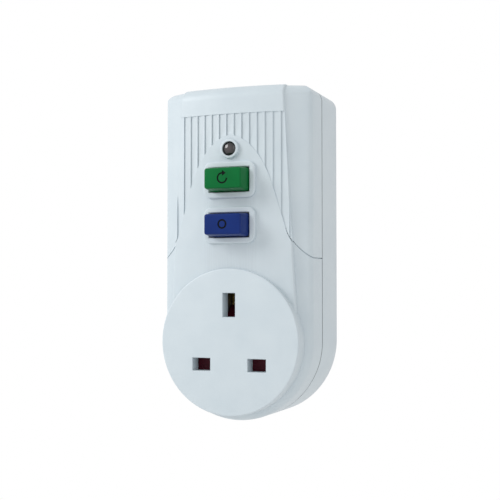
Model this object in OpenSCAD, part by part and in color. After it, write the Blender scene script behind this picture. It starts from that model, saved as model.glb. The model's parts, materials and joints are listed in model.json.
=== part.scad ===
// Plug-through residual-current adapter: plug pins at the back, a shuttered socket at the front.
// Millimetres. +X is the viewer's right, -Y the front, +Z up.
// The origin is on the rear face, at the centre of the pin pattern.

/* [Body] */
// Width of the body
body_w = 60; // [58:0.5:66]
// Height of the flat top above the pin pattern's centre
body_top = 96.1; // [94:0.5:104]
// Depth of the rear cover
rear_depth = 20.5; // [20:0.5:24]
// Depth of the front cover, from the parting line to the socket face
front_depth = 20.5; // [20:0.5:24]
// Thickness of the side and front walls
wall = 2.4; // [2:0.1:2.8]
// Thickness of the rear wall
rear_wall = 2.6; // [2.2:0.1:3.2]
// Radius of the upright corners between the flanks and the sides
corner_r = 3.5; // [3:0.1:4.5]
// Half width where the bowed front gives way to the flanks
flank_half = 20.7; // [19.5:0.1:21.5]
// Angle at which the flanks fall back from the front
flank_turn = 26; // [22:0.5:28]
// Radius of the edge round the flat top
top_r = 4.7; // [3.5:0.1:5.5]
// Radius of the edge round the rear face
rear_edge_r = 1.2; // [0.6:0.2:2]
// Radius of the bowed front
bow_r = 123; // [110:1:150]
// Width of the shadow groove at the parting line
seam_w = 0.5; // [0.3:0.1:0.8]
// Depth of the shadow groove and of the line that runs round the side
line_d = 0.4; // [0.2:0.1:0.6]
// Height of the tongue with which the rear cover enters the front cover
tongue_h = 1.8; // [1:0.2:3]
// Thickness of that tongue
tongue_t = 1.1; // [0.8:0.1:1.2]

/* [Front panel] */
// How far the crown of the panel lies behind the socket face
crown_drop = 1.1; // [0.8:0.1:1.4]
// How far the panel stands proud of the bowed front
panel_raise = 0.8; // [0.4:0.1:1.2]
// How far the panel stands proud of the flat top
panel_top_raise = 0.3; // [0.2:0.1:0.6]
// Half width of the panel at the flat top
panel_top_half = 20.5; // [18:0.5:22]
// Half width of the panel at the pin pattern's centre
panel_low_half = 25.8; // [24:0.2:26.5]
// Distance between the ribs
rib_pitch = 3.03; // [2.5:0.01:4]
// Number of rib steps across the panel
rib_count = 16; // [10:2:20]
// Depth of each rib step
rib_depth = 0.5; // [0.3:0.1:0.8]
// Height where the ribs end below the plain strip
rib_top = 85.6; // [82:0.2:88]
// Height of the top of the arch
arch_top = 77.7; // [77:0.1:80]
// Half width of the arch at its shoulder
arch_shoulder_half = 16.4; // [15:0.2:18]
// Height of the arch's shoulder
arch_shoulder = 58.6; // [56:0.2:62]
// Half width where the arch's flank starts to flare
arch_foot_half = 21.4; // [20:0.2:22.5]
// Height where the flank starts to flare
arch_foot = 42.2; // [40:0.2:45]
// Height of the line that goes on round the side
side_line = 31.4; // [30:0.2:33]
// Width of that line
side_line_w = 0.45; // [0.3:0.05:0.8]

/* [Socket] */
// Diameter of the round socket boss
boss_d = 55; // [54:0.2:56]
// Edge radius of the boss
boss_edge_r = 0.5; // [0.2:0.1:0.8]
// Thickness of the socket's face
socket_face_t = 3; // [2.6:0.1:3.4]
// Depth from the socket's face to the shutter
throat_d = 5.6; // [5.2:0.1:6]
// Wall round each slot behind the face
throat_wall = 1.5; // [1.2:0.1:1.8]
// Distance between the line slots, and between the line pins
line_pitch = 22.2; // [22:0.05:22.5]
// Height of the line slots and pins below the centre
line_drop = 8.47; // [8.3:0.01:8.6]
// Height of the earth slot and pin above the centre
earth_rise = 13.76; // [13.6:0.01:13.9]
// Width of a line slot
slot_w = 7.2; // [7:0.1:7.6]
// Height of a line slot
slot_h = 4.8; // [4.6:0.1:5]
// Width of the earth slot
earth_slot_w = 5; // [4.8:0.1:5.4]
// Height of the earth slot
earth_slot_h = 8.9; // [8.7:0.1:9.2]
// Thickness of the shutter's plate
shutter_t = 2.2; // [1.8:0.1:2.4]
// Travel of the shutter
shutter_travel = 5.2; // [5:0.1:5.6]
// Thickness of the sheet that the socket contacts are folded from
clip_t = 0.8; // [0.6:0.1:1]
// Length of a socket contact
clip_l = 10.6; // [9:0.2:11]

/* [Plug pins] */
// Width of a line pin
pin_w = 6.35; // [6.2:0.05:6.4]
// Height of a line pin
pin_h = 3.97; // [3.9:0.01:4.05]
// Length of a line pin beyond the rear face
pin_l = 17.7; // [17:0.1:18.2]
// Width of the earth pin
earth_w = 3.97; // [3.9:0.01:4.05]
// Height of the earth pin
earth_h = 7.95; // [7.8:0.01:8.05]
// Length of the earth pin beyond the rear face
earth_l = 22.73; // [22:0.01:23.2]
// Length of the sleeve on a line pin
sleeve_l = 9.5; // [8:0.1:10]
// Thickness of the sleeve
sleeve_t = 0.5; // [0.3:0.05:0.7]
// Thickness of a pin's flange inside the rear wall
flange_t = 2.8; // [2.4:0.1:3.2]

/* [Buttons] */
// Width of a button where it leaves its collar
button_w = 15.6; // [14.5:0.1:16]
// Height of a button where it leaves its collar
button_h = 8.7; // [8:0.1:9]
// How far a button stands out of its collar
button_out = 6.5; // [6:0.1:7.5]
// Draft of a button's sides, across its whole projection
button_draft = 0.55; // [0.3:0.05:0.7]
// Bevel round a button's face
button_bevel = 0.7; // [0.4:0.1:1]
// Height of the reset button
reset_z = 60.6; // [60:0.1:62]
// Distance between the two buttons
button_pitch = 17; // [16.5:0.1:18]
// Travel of the reset button
reset_travel = 4; // [3.5:0.1:4.2]
// Travel of the test button
test_travel = 3; // [2.5:0.1:3.2]
// Width of a button's collar
collar_w = 20.7; // [20:0.1:22]
// Height of a button's collar
collar_h = 13.7; // [13:0.1:14.5]
// Corner radius of a button's collar
collar_r = 3; // [2:0.1:4]
// Diameter of a button's stem
stem_d = 5; // [4:0.1:5.4]
// Outer diameter of the springs under the buttons
button_spring_d = 8; // [7.4:0.1:9]

/* [Indicator] */
// Height of the indicator above the reset button
lens_rise = 11.7; // [11.4:0.1:12.4]
// Diameter of the lens
lens_d = 5.3; // [4.8:0.1:5.6]
// Outer diameter of the ring round the lens
ring_d = 7.4; // [7:0.1:8]
// Diameter of the lamp behind the lens
lamp_d = 4.2; // [3.6:0.1:4.6]

/* [Inside] */
// Thickness of the circuit board
board_t = 1.6; // [1.2:0.1:2]
// Height of the posts under the circuit board
board_stand = 7.8; // [7.2:0.1:8.4]
// Lower edge of the circuit board
board_low = 31; // [30.2:0.1:32]
// Height of the mechanism frame above the board
frame_h = 14; // [13.6:0.1:14.6]
// Thickness of the frame's walls and plate
frame_t = 1.6; // [1.2:0.1:2]
// Thickness of the contact carriage
carriage_t = 4.3; // [4:0.1:4.6]
// Thickness of the current bars and contact blades
bar_t = 0.8; // [0.6:0.1:1]
// Width of the current bars
bar_w = 4; // [3:0.2:4.4]
// Height of the trip coil's axis above the reset button
coil_rise = 19.4; // [19:0.1:20.4]
// Outer diameter of the trip coil's bobbin
bobbin_d = 10.6; // [9.6:0.1:11]
// Diameter of the trip plunger
plunger_d = 4.2; // [3.6:0.1:4.4]
// Stroke of the trip plunger
trip_stroke = 2; // [1.5:0.1:2.2]
// Outer diameter of the sensing core
core_d = 11; // [10:0.1:11.4]
// Height of the sensing core
core_h = 6; // [5:0.1:6.4]
// Diameter of the cover screws
screw_d = 2.9; // [2.5:0.1:3]
// Diameter of the cover screws' heads
screw_head_d = 5.4; // [5:0.1:5.6]

/* [Hidden] */
$fn = 64;

// Clearances
slide_gap = 0.3;
touch_gap = 0.2;
fit_gap = 0.1;
far = 200;

// Overshoots that keep crossing surfaces apart
hair = 0.01;
edge_margin = 0.3;

// Levels from back to front
half_w = body_w / 2;
y_part = -rear_depth;
y_face = -(rear_depth + front_depth);
y_crown = y_face + crown_drop;
y_base = y_crown + panel_raise;
y_inner = y_base + wall;
y_rear_in = -rear_wall;

// Heights of what follows the reset button
test_z = reset_z - button_pitch;
lens_z = reset_z + lens_rise;
coil_z = reset_z + coil_rise;

// The bowed front and the upright corners that run into it
bow_y = y_crown + bow_r;
base_r = bow_r - panel_raise;
bow_angle = asin(flank_half / base_r);
flank_y = bow_y - sqrt(pow(base_r, 2) - pow(flank_half, 2));
// How far the flanks stand from the origin, square to them
flank_reach = flank_half * sin(flank_turn) - flank_y * cos(flank_turn);
corner_x = half_w - corner_r;
corner_y = (corner_x * sin(flank_turn) + corner_r - flank_reach) / cos(flank_turn);
panel_top = body_top + panel_top_raise;
skin = 1;

// Cover screws: towers in the rear cover meet posts in the front cover
tower_r = 3.4;
tower_room = 3.2;
tower_inset = tower_r + tower_room;
tower_edge = 4.8;
tower_turn = 30;
tower_upper = [half_w - tower_inset, body_top - tower_inset];
tower_lower = (half_w - tower_edge) * [cos(tower_turn), -sin(tower_turn)];
towers = [for (side = [-1, 1]) for (p = [tower_upper, tower_lower]) [side * p[0], p[1]]];
screw_seat = -11;
screw_l = 20;
screw_head_t = 2;
small_head_d = 4.6;
small_head_t = 1.6;
lug_screw_l = 9;
board_screw_l = 7;
rebate_y = y_part - tongue_h - fit_gap;

// Socket: shutter, base and contacts
line_x = line_pitch / 2;
line_z = -line_drop;
seat_y = y_face + socket_face_t;
boss_wall = 2.3;
boss_reach = 4.2;
seat_r = boss_d / 2 - boss_wall;
boss_back = seat_y + boss_reach;
throat_y = y_face + throat_d - slide_gap;
shutter_y = y_face + throat_d;
base_front = shutter_y + shutter_t + slide_gap;
window_margin = 0.3;
window_rim = 0.9;
window_h = slot_h + 2 * touch_gap;
window_w = slot_w + 2 * window_margin;
shutter_half = line_x + window_w / 2 + window_rim;
shutter_low = -13.4;
shutter_high = 1.4;
shutter_cut = 3;
neck_top = 8;
ramp_low = 4;
window_z = line_z + shutter_travel;
ramp_side = 0.8;
ramp_d = 3.4;
ramp_lip = 0.4;
ramp_top = earth_rise - fit_gap;
ramp_half = earth_slot_w / 2 + ramp_side;
ramp_back = shutter_y + shutter_t + ramp_d;
foot_half = 2.2;
foot_t = 1.5;
guide_z = [-11, 2];
shelf_half = 3;
shelf_t = 1.6;
shutter_spring_d = 3.6;
shutter_spring_wire = 0.5;
shutter_spring_y = base_front - touch_gap - shutter_spring_d / 2;
spring_shelf = -22.5;

// Board, bars and pins, from the rear wall forwards
board_back = y_rear_in - board_stand;
board_front = board_back - board_t;
board_room = 1.6;
board_half = half_w - wall - board_room;
board_high = body_top - wall - board_room;
out_bar_y = board_front - bar_t;
base_back = out_bar_y - touch_gap;
guide_t = 1.1;
base_rim = 4.2;
base_half = shutter_half + slide_gap + guide_t;
base_top = earth_rise + earth_slot_h / 2 + base_rim;
base_low = -14;
base_wall = 2;
lug_r = 3.2;
lug_x = base_half + lug_r;
lug_z = 14;
lug_t = 3;
flange_front = y_rear_in - flange_t;
in_bar_y = flange_front - bar_t;
rivet_d = 3;
rivet_proud = 0.6;
flange_margin = 1.3;
bar_tab = 2;
clip_gap = pin_h - touch_gap;
earth_clip_gap = earth_w - touch_gap;
flare = 0.8;
clip_in = 1;
clip_front = base_front + clip_in;
earth_clip_front = ramp_back + clip_in + touch_gap;
clip_w = pin_w + 2 * slide_gap;
bar_step = 1.4;
out_bar_x = line_x + bar_w / 2 + bar_step;
board_screw_drop = 3.6;
board_screw_rise = 9.4;
board_screw_z = [test_z - board_screw_drop, reset_z + board_screw_rise];
board_screw_in = 2.7;
board_screw_x = board_half - board_screw_in;
board_screw_d = 2.4;
board_post_d = 6;

// Buttons
collar_gap = slide_gap;
sleeve_wall = 1.6;
sleeve_reach = 1.1;
sleeve_end = y_inner + sleeve_reach;
flange_lip = 1.4;
button_flange_t = 1.2;
flange_y = sleeve_end + slide_gap;
stem_y = flange_y + button_flange_t;
flange_mid = (flange_y + stem_y) / 2;
spring_wire = 0.6;

// Indicator
lens_proud = 0.3;
lens_back = y_inner + skin;
lamp_l = 8;

// Mechanism
plate_front = board_front - frame_h;
plate_back = plate_front + frame_t;
plate_room = 1;
carriage_front = plate_back + plate_room;
carriage_back = carriage_front + carriage_t;
carriage_half = 11.8;
carriage_h = 12.8;
blade_in = 1.8;
blade_z = carriage_h / 2 - blade_in;
blade_w = 3;
blade_half = 9;
tip_d = 3;
tip_h = 0.8;
tip_x = 7.5;
tip_end = carriage_back + bar_t + tip_h;
fixed_top = tip_end + reset_travel + slide_gap;
frame_half = 14;
frame_wall_half = 11.5;
test_room = 6;
frame_room = 1.2;
frame_mid = (reset_z - carriage_h / 2 + test_z + test_room) / 2;
frame_low = test_z - test_room - frame_room / 2;
frame_high = reset_z + carriage_h / 2 + frame_room;
carriage_spring_d = 5;
inner_wire = 0.5;

// Test contact: a leaf over a terminal
leaf_t = 0.4;
leaf_w = 4;
leaf_x = [-9, 3];
leaf_y = carriage_front + touch_gap;
test_tip = leaf_y - 2 * touch_gap;
terminal_front = test_tip + test_travel + leaf_t + fit_gap;
terminal_w = 3;

// Trip coil, along X
coil_stand = 1.2;
coil_y = board_front - coil_stand - bobbin_d / 2;
yoke_t = 1;
yoke_half = 5.5;
plate_t = 1.2;
rod_d = 2.4;
head_d = 6;
head_t = 1.2;
bore_d = plunger_d + 2 * slide_gap;
tube_wall = 0.8;
tube_d = bore_d + 2 * tube_wall;
cheek_t = 1;
plunger_spring_l = 4;
plunger_room = 1.4;
yoke_l = 22;
yoke_left = -(half_w - wall) + plunger_room + head_t + plunger_spring_l;
yoke_x = [yoke_left, yoke_left + yoke_l];
latch_x = carriage_half + slide_gap;
nose_l = 0.4;
latch_t = 1.2;
nose_back = carriage_front + reset_travel - slide_gap;
nose_t = 1.2;
nose_h = 7;
latch_head = 2.4;
latch_drop = 3.6;
latch_low = reset_z - latch_drop;

// Sensing core
winding_t = 0.6;
core_wall = 2.4;
core_x = half_w - wall - 2 * slide_gap - core_d / 2 - winding_t;
core_y = board_front - fit_gap - core_d / 2 - winding_t;
core_lift = 1.2;
core_z = (board_screw_z[0] + reset_z) / 2 + core_lift;
lead_d = 1.4;
lead_x = 1;

// Electronics on the board
side_room = 3;
chip_w = 10;
chip_d = 2.4;
chip_h = 5;
thyristor_w = 5;
thyristor_d = 9;
thyristor_h = 8;
disc_d = 9;
disc_t = 4;
can_d = 8;
can_l = 10;
can_in = 0.6;
can_lift = 2;
film_w = 5.6;
film_d = 7;
film_h = 6;
film_lift = 1.2;
bead_d = 2.4;
bead_l = 3.6;
bead_pitch = 4.4;

// Functions

// Front of the panel at a distance x from the middle
function panel_y(x) = bow_y - sqrt(bow_r * bow_r - x * x);

// Half width of the panel at a height z
function panel_half(z) = panel_low_half + (panel_top_half - panel_low_half) * z / body_top;

// A point on a cubic curve
function on_curve(p, t) =
    pow(1 - t, 3) * p[0] + 3 * t * pow(1 - t, 2) * p[1] + 3 * t * t * (1 - t) * p[2] + pow(t, 3) * p[3];

// The arch's right side, from its top to where it meets the side of the body
arch_head = [
    [0, arch_top],
    [arch_shoulder_half * 0.42, arch_top - 1.3],
    [arch_shoulder_half * 0.76, arch_top - 7.2],
    [arch_shoulder_half, arch_shoulder]
];
arch_flare = [
    [arch_foot_half, arch_foot],
    [arch_foot_half + 1.2, arch_foot - 4],
    [arch_foot_half + 3.8, side_line + 3.2],
    [half_w, side_line]
];
arch_steps = 8;
arch_right = concat(
    [for (i = [0:arch_steps]) on_curve(arch_head, i / arch_steps)],
    [for (i = [0:arch_steps]) on_curve(arch_flare, i / arch_steps)]
);
flare_right = [for (i = [0:arch_steps]) on_curve(arch_flare, i / arch_steps)];

// Drawing helpers

// A front-view outline made solid between two depths
module slab(y0, y1) {
    translate([0, y1, 0])
        rotate([90, 0, 0])
            linear_extrude(y1 - y0)
                children();
}

// A plan outline made solid between two heights
module upright(z0, z1) {
    translate([0, 0, z0])
        linear_extrude(z1 - z0)
            children();
}

// A side-view outline, drawn as depth and height, made solid between two sides
module sideways(x0, x1) {
    translate([x0, 0, 0])
        rotate([90, 0, 90])
            linear_extrude(x1 - x0)
                children();
}

// A round bar along Y
module rod_y(d, y0, y1) {
    translate([0, y0, 0])
        rotate([-90, 0, 0])
            cylinder(d = d, h = y1 - y0);
}

// A round bar along X
module rod_x(d, x0, x1) {
    translate([x0, 0, 0])
        rotate([0, 90, 0])
            cylinder(d = d, h = x1 - x0);
}

// A box from its low corner to its high corner
module block(low, high) {
    translate(low)
        cube(high - low);
}

// A rectangle with round corners, centred
module round_rect(w, h, r) {
    square([w - 2 * r, h], center = true);
    square([w, h - 2 * r], center = true);
    for (x = [-1, 1])
        for (y = [-1, 1])
            translate([x * (w / 2 - r), y * (h / 2 - r)])
                circle(r);
}

// Half section of an upright form with a round upper edge
module topped(r, z, edge, inner = 0) {
    translate([inner, 0])
        square([r - inner, z - edge]);
    translate([inner, 0])
        square([r - edge - inner, z]);
    translate([r - edge, z - edge])
        circle(edge);
}

// A helical spring that stands on its origin, along Z
module coil_spring(outer_d, wire_d, turns, length) {
    ring_steps = 8;
    sides = 6;
    rings = turns * ring_steps;
    wire_r = wire_d / 2;
    mid_r = outer_d / 2 - wire_r;
    echo(spring_gap = (length - wire_d) / turns - wire_d);
    points = [
        for (i = [0:rings])
            let (turn = 360 * i / ring_steps, z = wire_r + (length - wire_d) * i / rings)
                for (j = [0:sides - 1])
                    let (a = 360 * j / sides + 30, r = mid_r + wire_r * cos(a))
                        [r * cos(turn), r * sin(turn), z + wire_r * sin(a)]
    ];
    skin_faces = [
        for (i = [0:rings - 1])
            for (j = [0:sides - 1])
                let (a = i * sides + j, b = i * sides + (j + 1) % sides)
                    for (f = [[a, b, a + sides], [b, b + sides, a + sides]])
                        f
    ];
    last = rings * sides;
    end_faces = [
        for (j = [1:sides - 2])
            for (f = [[0, j + 1, j], [last, last + j, last + j + 1]])
                f
    ];
    polyhedron(points, concat(skin_faces, end_faces));
}

// Body form shared by both covers

// Where a flank, moved inwards, touches its round corner
function flank_end(inset) = [
    corner_x + (corner_r - inset) * sin(flank_turn),
    corner_y - (corner_r - inset) * cos(flank_turn)
];

// The plan of the body: a bowed front, two straight flanks and two round corners,
// each a hair larger than the corner that would only touch its flank
module plan_outline(inset) {
    half = half_w - inset;
    touch = flank_end(inset);
    nose = touch[1] - touch[0] * tan(flank_turn);
    intersection() {
        translate([0, bow_y])
            circle(base_r - inset, $fn = 360);
        polygon([
            [0, nose], touch, [corner_x, corner_y], [-corner_x, corner_y], [-touch[0], touch[1]]
        ]);
    }
    for (side = [-1, 1])
        translate([side * (corner_x - hair), corner_y])
            circle(corner_r - inset + hair);
    translate([-half, corner_y])
        square([2 * half, -corner_y]);
}

// Everything inside the right flank, with a round upper edge
module flank_side(inset) {
    rotate([0, 0, flank_turn - 90])
        rotate([90, 0, 0])
            translate([0, 0, -far])
                linear_extrude(2 * far)
                    topped(flank_reach - inset + edge_margin, body_top - inset + 2 * hair,
                        top_r - inset + edge_margin, -far);
}

// The turned lower half, which reaches up inside the upright part
module turned_form(inset) {
    touch = flank_end(inset);
    flat_y = flank_y + inset;
    flat_r = (flank_reach - inset + flat_y * cos(flank_turn)) / sin(flank_turn);
    rotate([0, 90, 0])
        rotate([-90, 0, 0])
            rotate_extrude() {
                polygon([[0, flat_y], [flat_r, flat_y], touch, [corner_x, corner_y], [0, corner_y]]);
                translate([0, corner_y])
                    square([half_w - inset, -corner_y]);
                translate([corner_x - hair, corner_y])
                    circle(corner_r - inset + hair);
            }
}

// The whole outside of the body, moved inwards by an inset
module body_form(inset = 0) {
    top = body_top - inset;
    edge = top_r - inset;
    half = half_w - inset;
    sweep = atan(1.2 * half_w / bow_y);
    intersection() {
        upright(0, top + 1)
            plan_outline(inset);
        slab(y_face, 0)
            for (side = [0, 1])
                mirror([side, 0])
                    topped(half + hair, top, edge);
        translate([0, bow_y, 0])
            rotate([0, 0, -90 - sweep])
                rotate_extrude(angle = 2 * sweep)
                    topped(base_r - inset + edge_margin, top + hair, edge + edge_margin, base_r / 3);
        flank_side(inset);
        mirror([1, 0, 0])
            flank_side(inset);
    }
    turned_form(inset + hair);
}

// Everything in front of, or behind, a depth
module before(y) {
    block([-far, -far, -far], [far, y, far]);
}

module behind(y) {
    block([-far, y, -far], [far, far, far]);
}

// The inside of the body, in front of the rear wall
module cavity() {
    intersection() {
        body_form(wall);
        before(y_rear_in);
    }
}

// A thin skin of the body's outside, used to cut lines of an even depth
module line_cut() {
    difference() {
        children();
        body_form(line_d);
    }
}

// Places where something repeats
module at_towers() {
    for (p = towers)
        translate([p[0], 0, p[1]])
            children();
}

module at_buttons() {
    for (z = [reset_z, test_z])
        translate([0, 0, z])
            children();
}

module at_board_screws() {
    for (side = [-1, 1])
        for (z = board_screw_z)
            translate([side * board_screw_x, 0, z])
                children();
}

module at_lugs() {
    for (side = [-1, 1])
        translate([side * lug_x, 0, lug_z])
            children();
}

// Front cover

// The front view of everything below the arch
module arch_outline() {
    polygon(concat(
        arch_right,
        [[half_w + 2, side_line], [half_w + 2, -far], [-half_w - 2, -far], [-half_w - 2, side_line]],
        [for (i = [len(arch_right) - 1:-1:1]) [-arch_right[i][0], arch_right[i][1]]]
    ));
}

// The line that goes on from the arch, round the corner to the parting line
module side_line_outline() {
    for (side = [0, 1])
        mirror([side, 0])
            polygon(concat(
                flare_right,
                [[half_w + 2, side_line], [half_w + 2, side_line - side_line_w]],
                [for (i = [len(flare_right) - 1:-1:0]) flare_right[i] - [0, side_line_w]]
            ));
}

// The raised panel, wrapped over the top edge
module panel() {
    sweep = bow_angle + 4;
    intersection() {
        before(y_part);
        slab(-far, far)
            polygon([
                [-panel_half(0), 0], [panel_half(0), 0],
                [panel_half(panel_top), panel_top], [-panel_half(panel_top), panel_top]
            ]);
        translate([0, bow_y, 0])
            rotate([0, 0, -90 - sweep])
                rotate_extrude(angle = 2 * sweep)
                    difference() {
                        topped(bow_r, panel_top, top_r + panel_top_raise, bow_y - y_part - 6);
                        translate([0, -1])
                            topped(base_r - wall + skin / 2, body_top - wall + skin / 2 + 1, top_r,
                                bow_y - y_part - 8);
                    }
    }
}

// A row of wedges that leaves stepped ribs beside the arch
module rib_cuts() {
    rib_crest = 0.05;
    first = -(rib_count - 1) / 2 * rib_pitch;
    steps = [for (i = [0:rib_count]) first + i * rib_pitch];
    difference() {
        upright(side_line, rib_top)
            polygon(concat(
                [[steps[0], y_crown - 1], [steps[rib_count], y_crown - 1]],
                [
                    for (i = [rib_count:-1:1])
                        for (p = [[steps[i], rib_crest], [steps[i - 1], rib_depth]])
                            [p[0], panel_y(p[0]) + p[1]]
                ]
            ));
        slab(-far, far)
            arch_outline();
    }
}

// The round boss, with its edge eased
module boss() {
    boss_r = boss_d / 2;
    rotate([-90, 0, 0])
        rotate_extrude() {
            translate([0, y_face])
                square([boss_r - boss_edge_r, boss_back - y_face]);
            translate([0, y_face + boss_edge_r])
                square([boss_r, boss_back - y_face - boss_edge_r]);
            translate([boss_r - boss_edge_r, y_face + boss_edge_r])
                circle(boss_edge_r);
        }
}

module slot_outlines(grow) {
    for (side = [-1, 1])
        translate([side * line_x, line_z])
            square([slot_w + 2 * grow, slot_h + 2 * grow], center = true);
    translate([0, earth_rise])
        square([earth_slot_w + 2 * grow, earth_slot_h + 2 * grow], center = true);
}

// Posts that take the cover screws, kept clear of the rear cover's tongue
module front_posts() {
    intersection() {
        at_towers()
            rod_y(2 * tower_r, y_face + wall, rebate_y);
        body_form(wall / 2);
    }
    intersection() {
        at_towers()
            rod_y(2 * tower_r, y_face + wall, y_part - fit_gap);
        body_form(wall + fit_gap);
    }
}

module front_cover() {
    aperture_w = button_w + 2 * collar_gap;
    aperture_h = button_h + 2 * collar_gap;
    screw_end = screw_seat - screw_l - slide_gap;
    color("whitesmoke")
        difference() {
            union() {
                difference() {
                    union() {
                        intersection() {
                            body_form();
                            before(y_part);
                        }
                        panel();
                        boss();
                    }
                    cavity();
                    rod_y(2 * seat_r, seat_y, corner_y);
                    rib_cuts();
                    line_cut()
                        slab(-far, y_part)
                            side_line_outline();
                    intersection() {
                        body_form(wall - tongue_t - fit_gap);
                        behind(rebate_y);
                    }
                }
                slab(seat_y - skin, throat_y)
                    slot_outlines(throat_wall);
                at_buttons() {
                    slab(y_face, y_base + skin)
                        round_rect(collar_w, collar_h, collar_r);
                    slab(y_base + skin, sleeve_end)
                        round_rect(aperture_w + 2 * sleeve_wall, aperture_h + 2 * sleeve_wall, sleeve_wall);
                }
                translate([0, 0, lens_z])
                    rod_y(ring_d, y_face, y_base + skin);
                front_posts();
            }
            slab(y_face - 1, throat_y + 1)
                slot_outlines(0);
            at_buttons()
                slab(y_face - 1, sleeve_end + 1)
                    square([aperture_w, aperture_h], center = true);
            translate([0, 0, lens_z])
                rod_y(lens_d + 2 * fit_gap, y_face - 1, 0);
            at_towers()
                rod_y(screw_d + fit_gap, screw_end, 0);
        }
}

// Rear cover

module rear_cover() {
    counterbore_d = screw_head_d + 2 * slide_gap;
    color("whitesmoke")
        difference() {
            union() {
                difference() {
                    union() {
                        intersection() {
                            body_form();
                            behind(y_part);
                            rear_edge_form();
                        }
                        intersection() {
                            body_form(wall - tongue_t);
                            behind(y_part - tongue_h);
                            before(y_part + skin);
                        }
                    }
                    cavity();
                    line_cut()
                        block([-far, y_part, -far], [far, y_part + seam_w, far]);
                }
                intersection() {
                    at_towers()
                        rod_y(2 * tower_r, y_part, y_rear_in);
                    body_form(wall / 2);
                }
                at_board_screws()
                    rod_y(board_post_d, board_back, y_rear_in);
                at_lugs()
                    rod_y(2 * lug_r, base_back, y_rear_in);
            }
            at_towers() {
                rod_y(screw_d + 2 * slide_gap, y_part - 1, 1);
                rod_y(counterbore_d, screw_seat, 1);
            }
            at_board_screws()
                rod_y(board_screw_d + fit_gap, board_back - 1, y_rear_in - 1);
            at_lugs()
                rod_y(board_screw_d + fit_gap, base_back - 1, y_rear_in - 1);
            slab(y_rear_in - 1, 1) {
                for (side = [-1, 1])
                    translate([side * line_x, line_z])
                        square([pin_w + 2 * fit_gap, pin_h + 2 * fit_gap], center = true);
                translate([0, earth_rise])
                    square([earth_w + 2 * fit_gap, earth_h + 2 * fit_gap], center = true);
            }
        }
}

// The body's rear edge, rounded
module rear_edge_form() {
    r = rear_edge_r;
    intersection() {
        upright(0, far) {
            translate([-half_w, -far])
                square([body_w, far - r]);
            translate([-half_w + r, -r])
                square([body_w - 2 * r, r]);
            for (side = [-1, 1])
                translate([side * (half_w - r), -r])
                    circle(r);
        }
        sideways(-far, far) {
            translate([-far, 0])
                square([far - r, body_top]);
            translate([-r, 0])
                square([r, body_top - r]);
            translate([-r, body_top - r])
                circle(r);
        }
    }
    rotate([-90, 0, 0])
        rotate_extrude(angle = 180) {
            translate([0, -far])
                square([half_w, far - r]);
            translate([0, -r])
                square([half_w - r, r]);
            translate([half_w - r, -r])
                circle(r);
        }
}

// A pan-head screw along Y: its seat at y, its head behind or before it
module screw(d, head_d, head_t, y, length, head_side) {
    cross_w = 0.6 * head_d;
    cross_t = 0.8;
    rod_y(d, head_side > 0 ? y - length : y, head_side > 0 ? y : y + length);
    difference() {
        rod_y(head_d, head_side > 0 ? y : y - head_t, head_side > 0 ? y + head_t : y);
        for (turn = [0, 90])
            translate([0, y + head_side * head_t, 0])
                rotate([0, turn, 0])
                    cube([cross_w, head_t, cross_t], center = true);
    }
}

module cover_screws() {
    color("silver")
        at_towers()
            screw(screw_d, screw_head_d, screw_head_t, screw_seat, screw_l, 1);
}

// Socket

module base_outline() {
    cut = 3;
    polygon([
        [-base_half, base_top], [base_half, base_top], [base_half, base_low + cut],
        [base_half - cut, base_low], [cut - base_half, base_low], [-base_half, base_low + cut]
    ]);
}

module socket_base() {
    pocket_back = base_back - base_wall;
    line_pocket_w = clip_w + 2 * slide_gap;
    line_pocket_h = clip_gap + 2 * (clip_t + flare + slide_gap);
    earth_pocket_w = earth_clip_gap + 2 * (clip_t + flare + slide_gap);
    earth_pocket_h = earth_h + 2 * slide_gap;
    ramp_slot_half = ramp_half + slide_gap;
    ramp_slot_low = ramp_low - shutter_travel - 2 * slide_gap;
    color("dimgray")
        difference() {
            union() {
                slab(base_front, base_back)
                    base_outline();
                for (side = [-1, 1])
                    mirror([side > 0 ? 0 : 1, 0, 0])
                        block(
                            [shutter_half + slide_gap, shutter_y, guide_z[0]],
                            [base_half, base_front + skin, guide_z[1]]
                        );
                block(
                    [-shelf_half, base_front, spring_shelf - shelf_t],
                    [shelf_half, base_front + base_wall, base_low + skin]
                );
                block(
                    [-shelf_half, shutter_spring_y - foot_half, spring_shelf - shelf_t],
                    [shelf_half, base_front + skin, spring_shelf]
                );
                for (side = [-1, 1])
                    mirror([side > 0 ? 0 : 1, 0, 0])
                        block(
                            [base_half - skin, base_back - lug_t, lug_z - lug_r],
                            [lug_x, base_back, lug_z + lug_r]
                        );
                at_lugs()
                    rod_y(2 * lug_r, base_back - lug_t, base_back);
            }
            slab(base_front - 1, pocket_back) {
                for (side = [-1, 1])
                    translate([side * line_x, line_z])
                        square([line_pocket_w, line_pocket_h], center = true);
                translate([0, earth_rise])
                    square([earth_pocket_w, earth_pocket_h], center = true);
            }
            block(
                [-ramp_slot_half, base_front - 1, ramp_slot_low],
                [ramp_slot_half, ramp_back + 2 * slide_gap, base_top + 1]
            );
            slab(pocket_back - 1, base_back + 1) {
                for (side = [-1, 1])
                    translate([side * line_x, line_z])
                        square([bar_w + 2 * slide_gap, bar_t + 2 * slide_gap], center = true);
                translate([0, earth_rise])
                    square([bar_w + 2 * slide_gap, bar_t + 2 * slide_gap], center = true);
            }
            at_lugs()
                rod_y(board_screw_d + 2 * fit_gap, base_back - lug_t - 1, base_back + 1);
        }
}

module base_screws() {
    color("silver")
        at_lugs()
            screw(board_screw_d, small_head_d, small_head_t, base_back - lug_t, lug_screw_l, -1);
}

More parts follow.
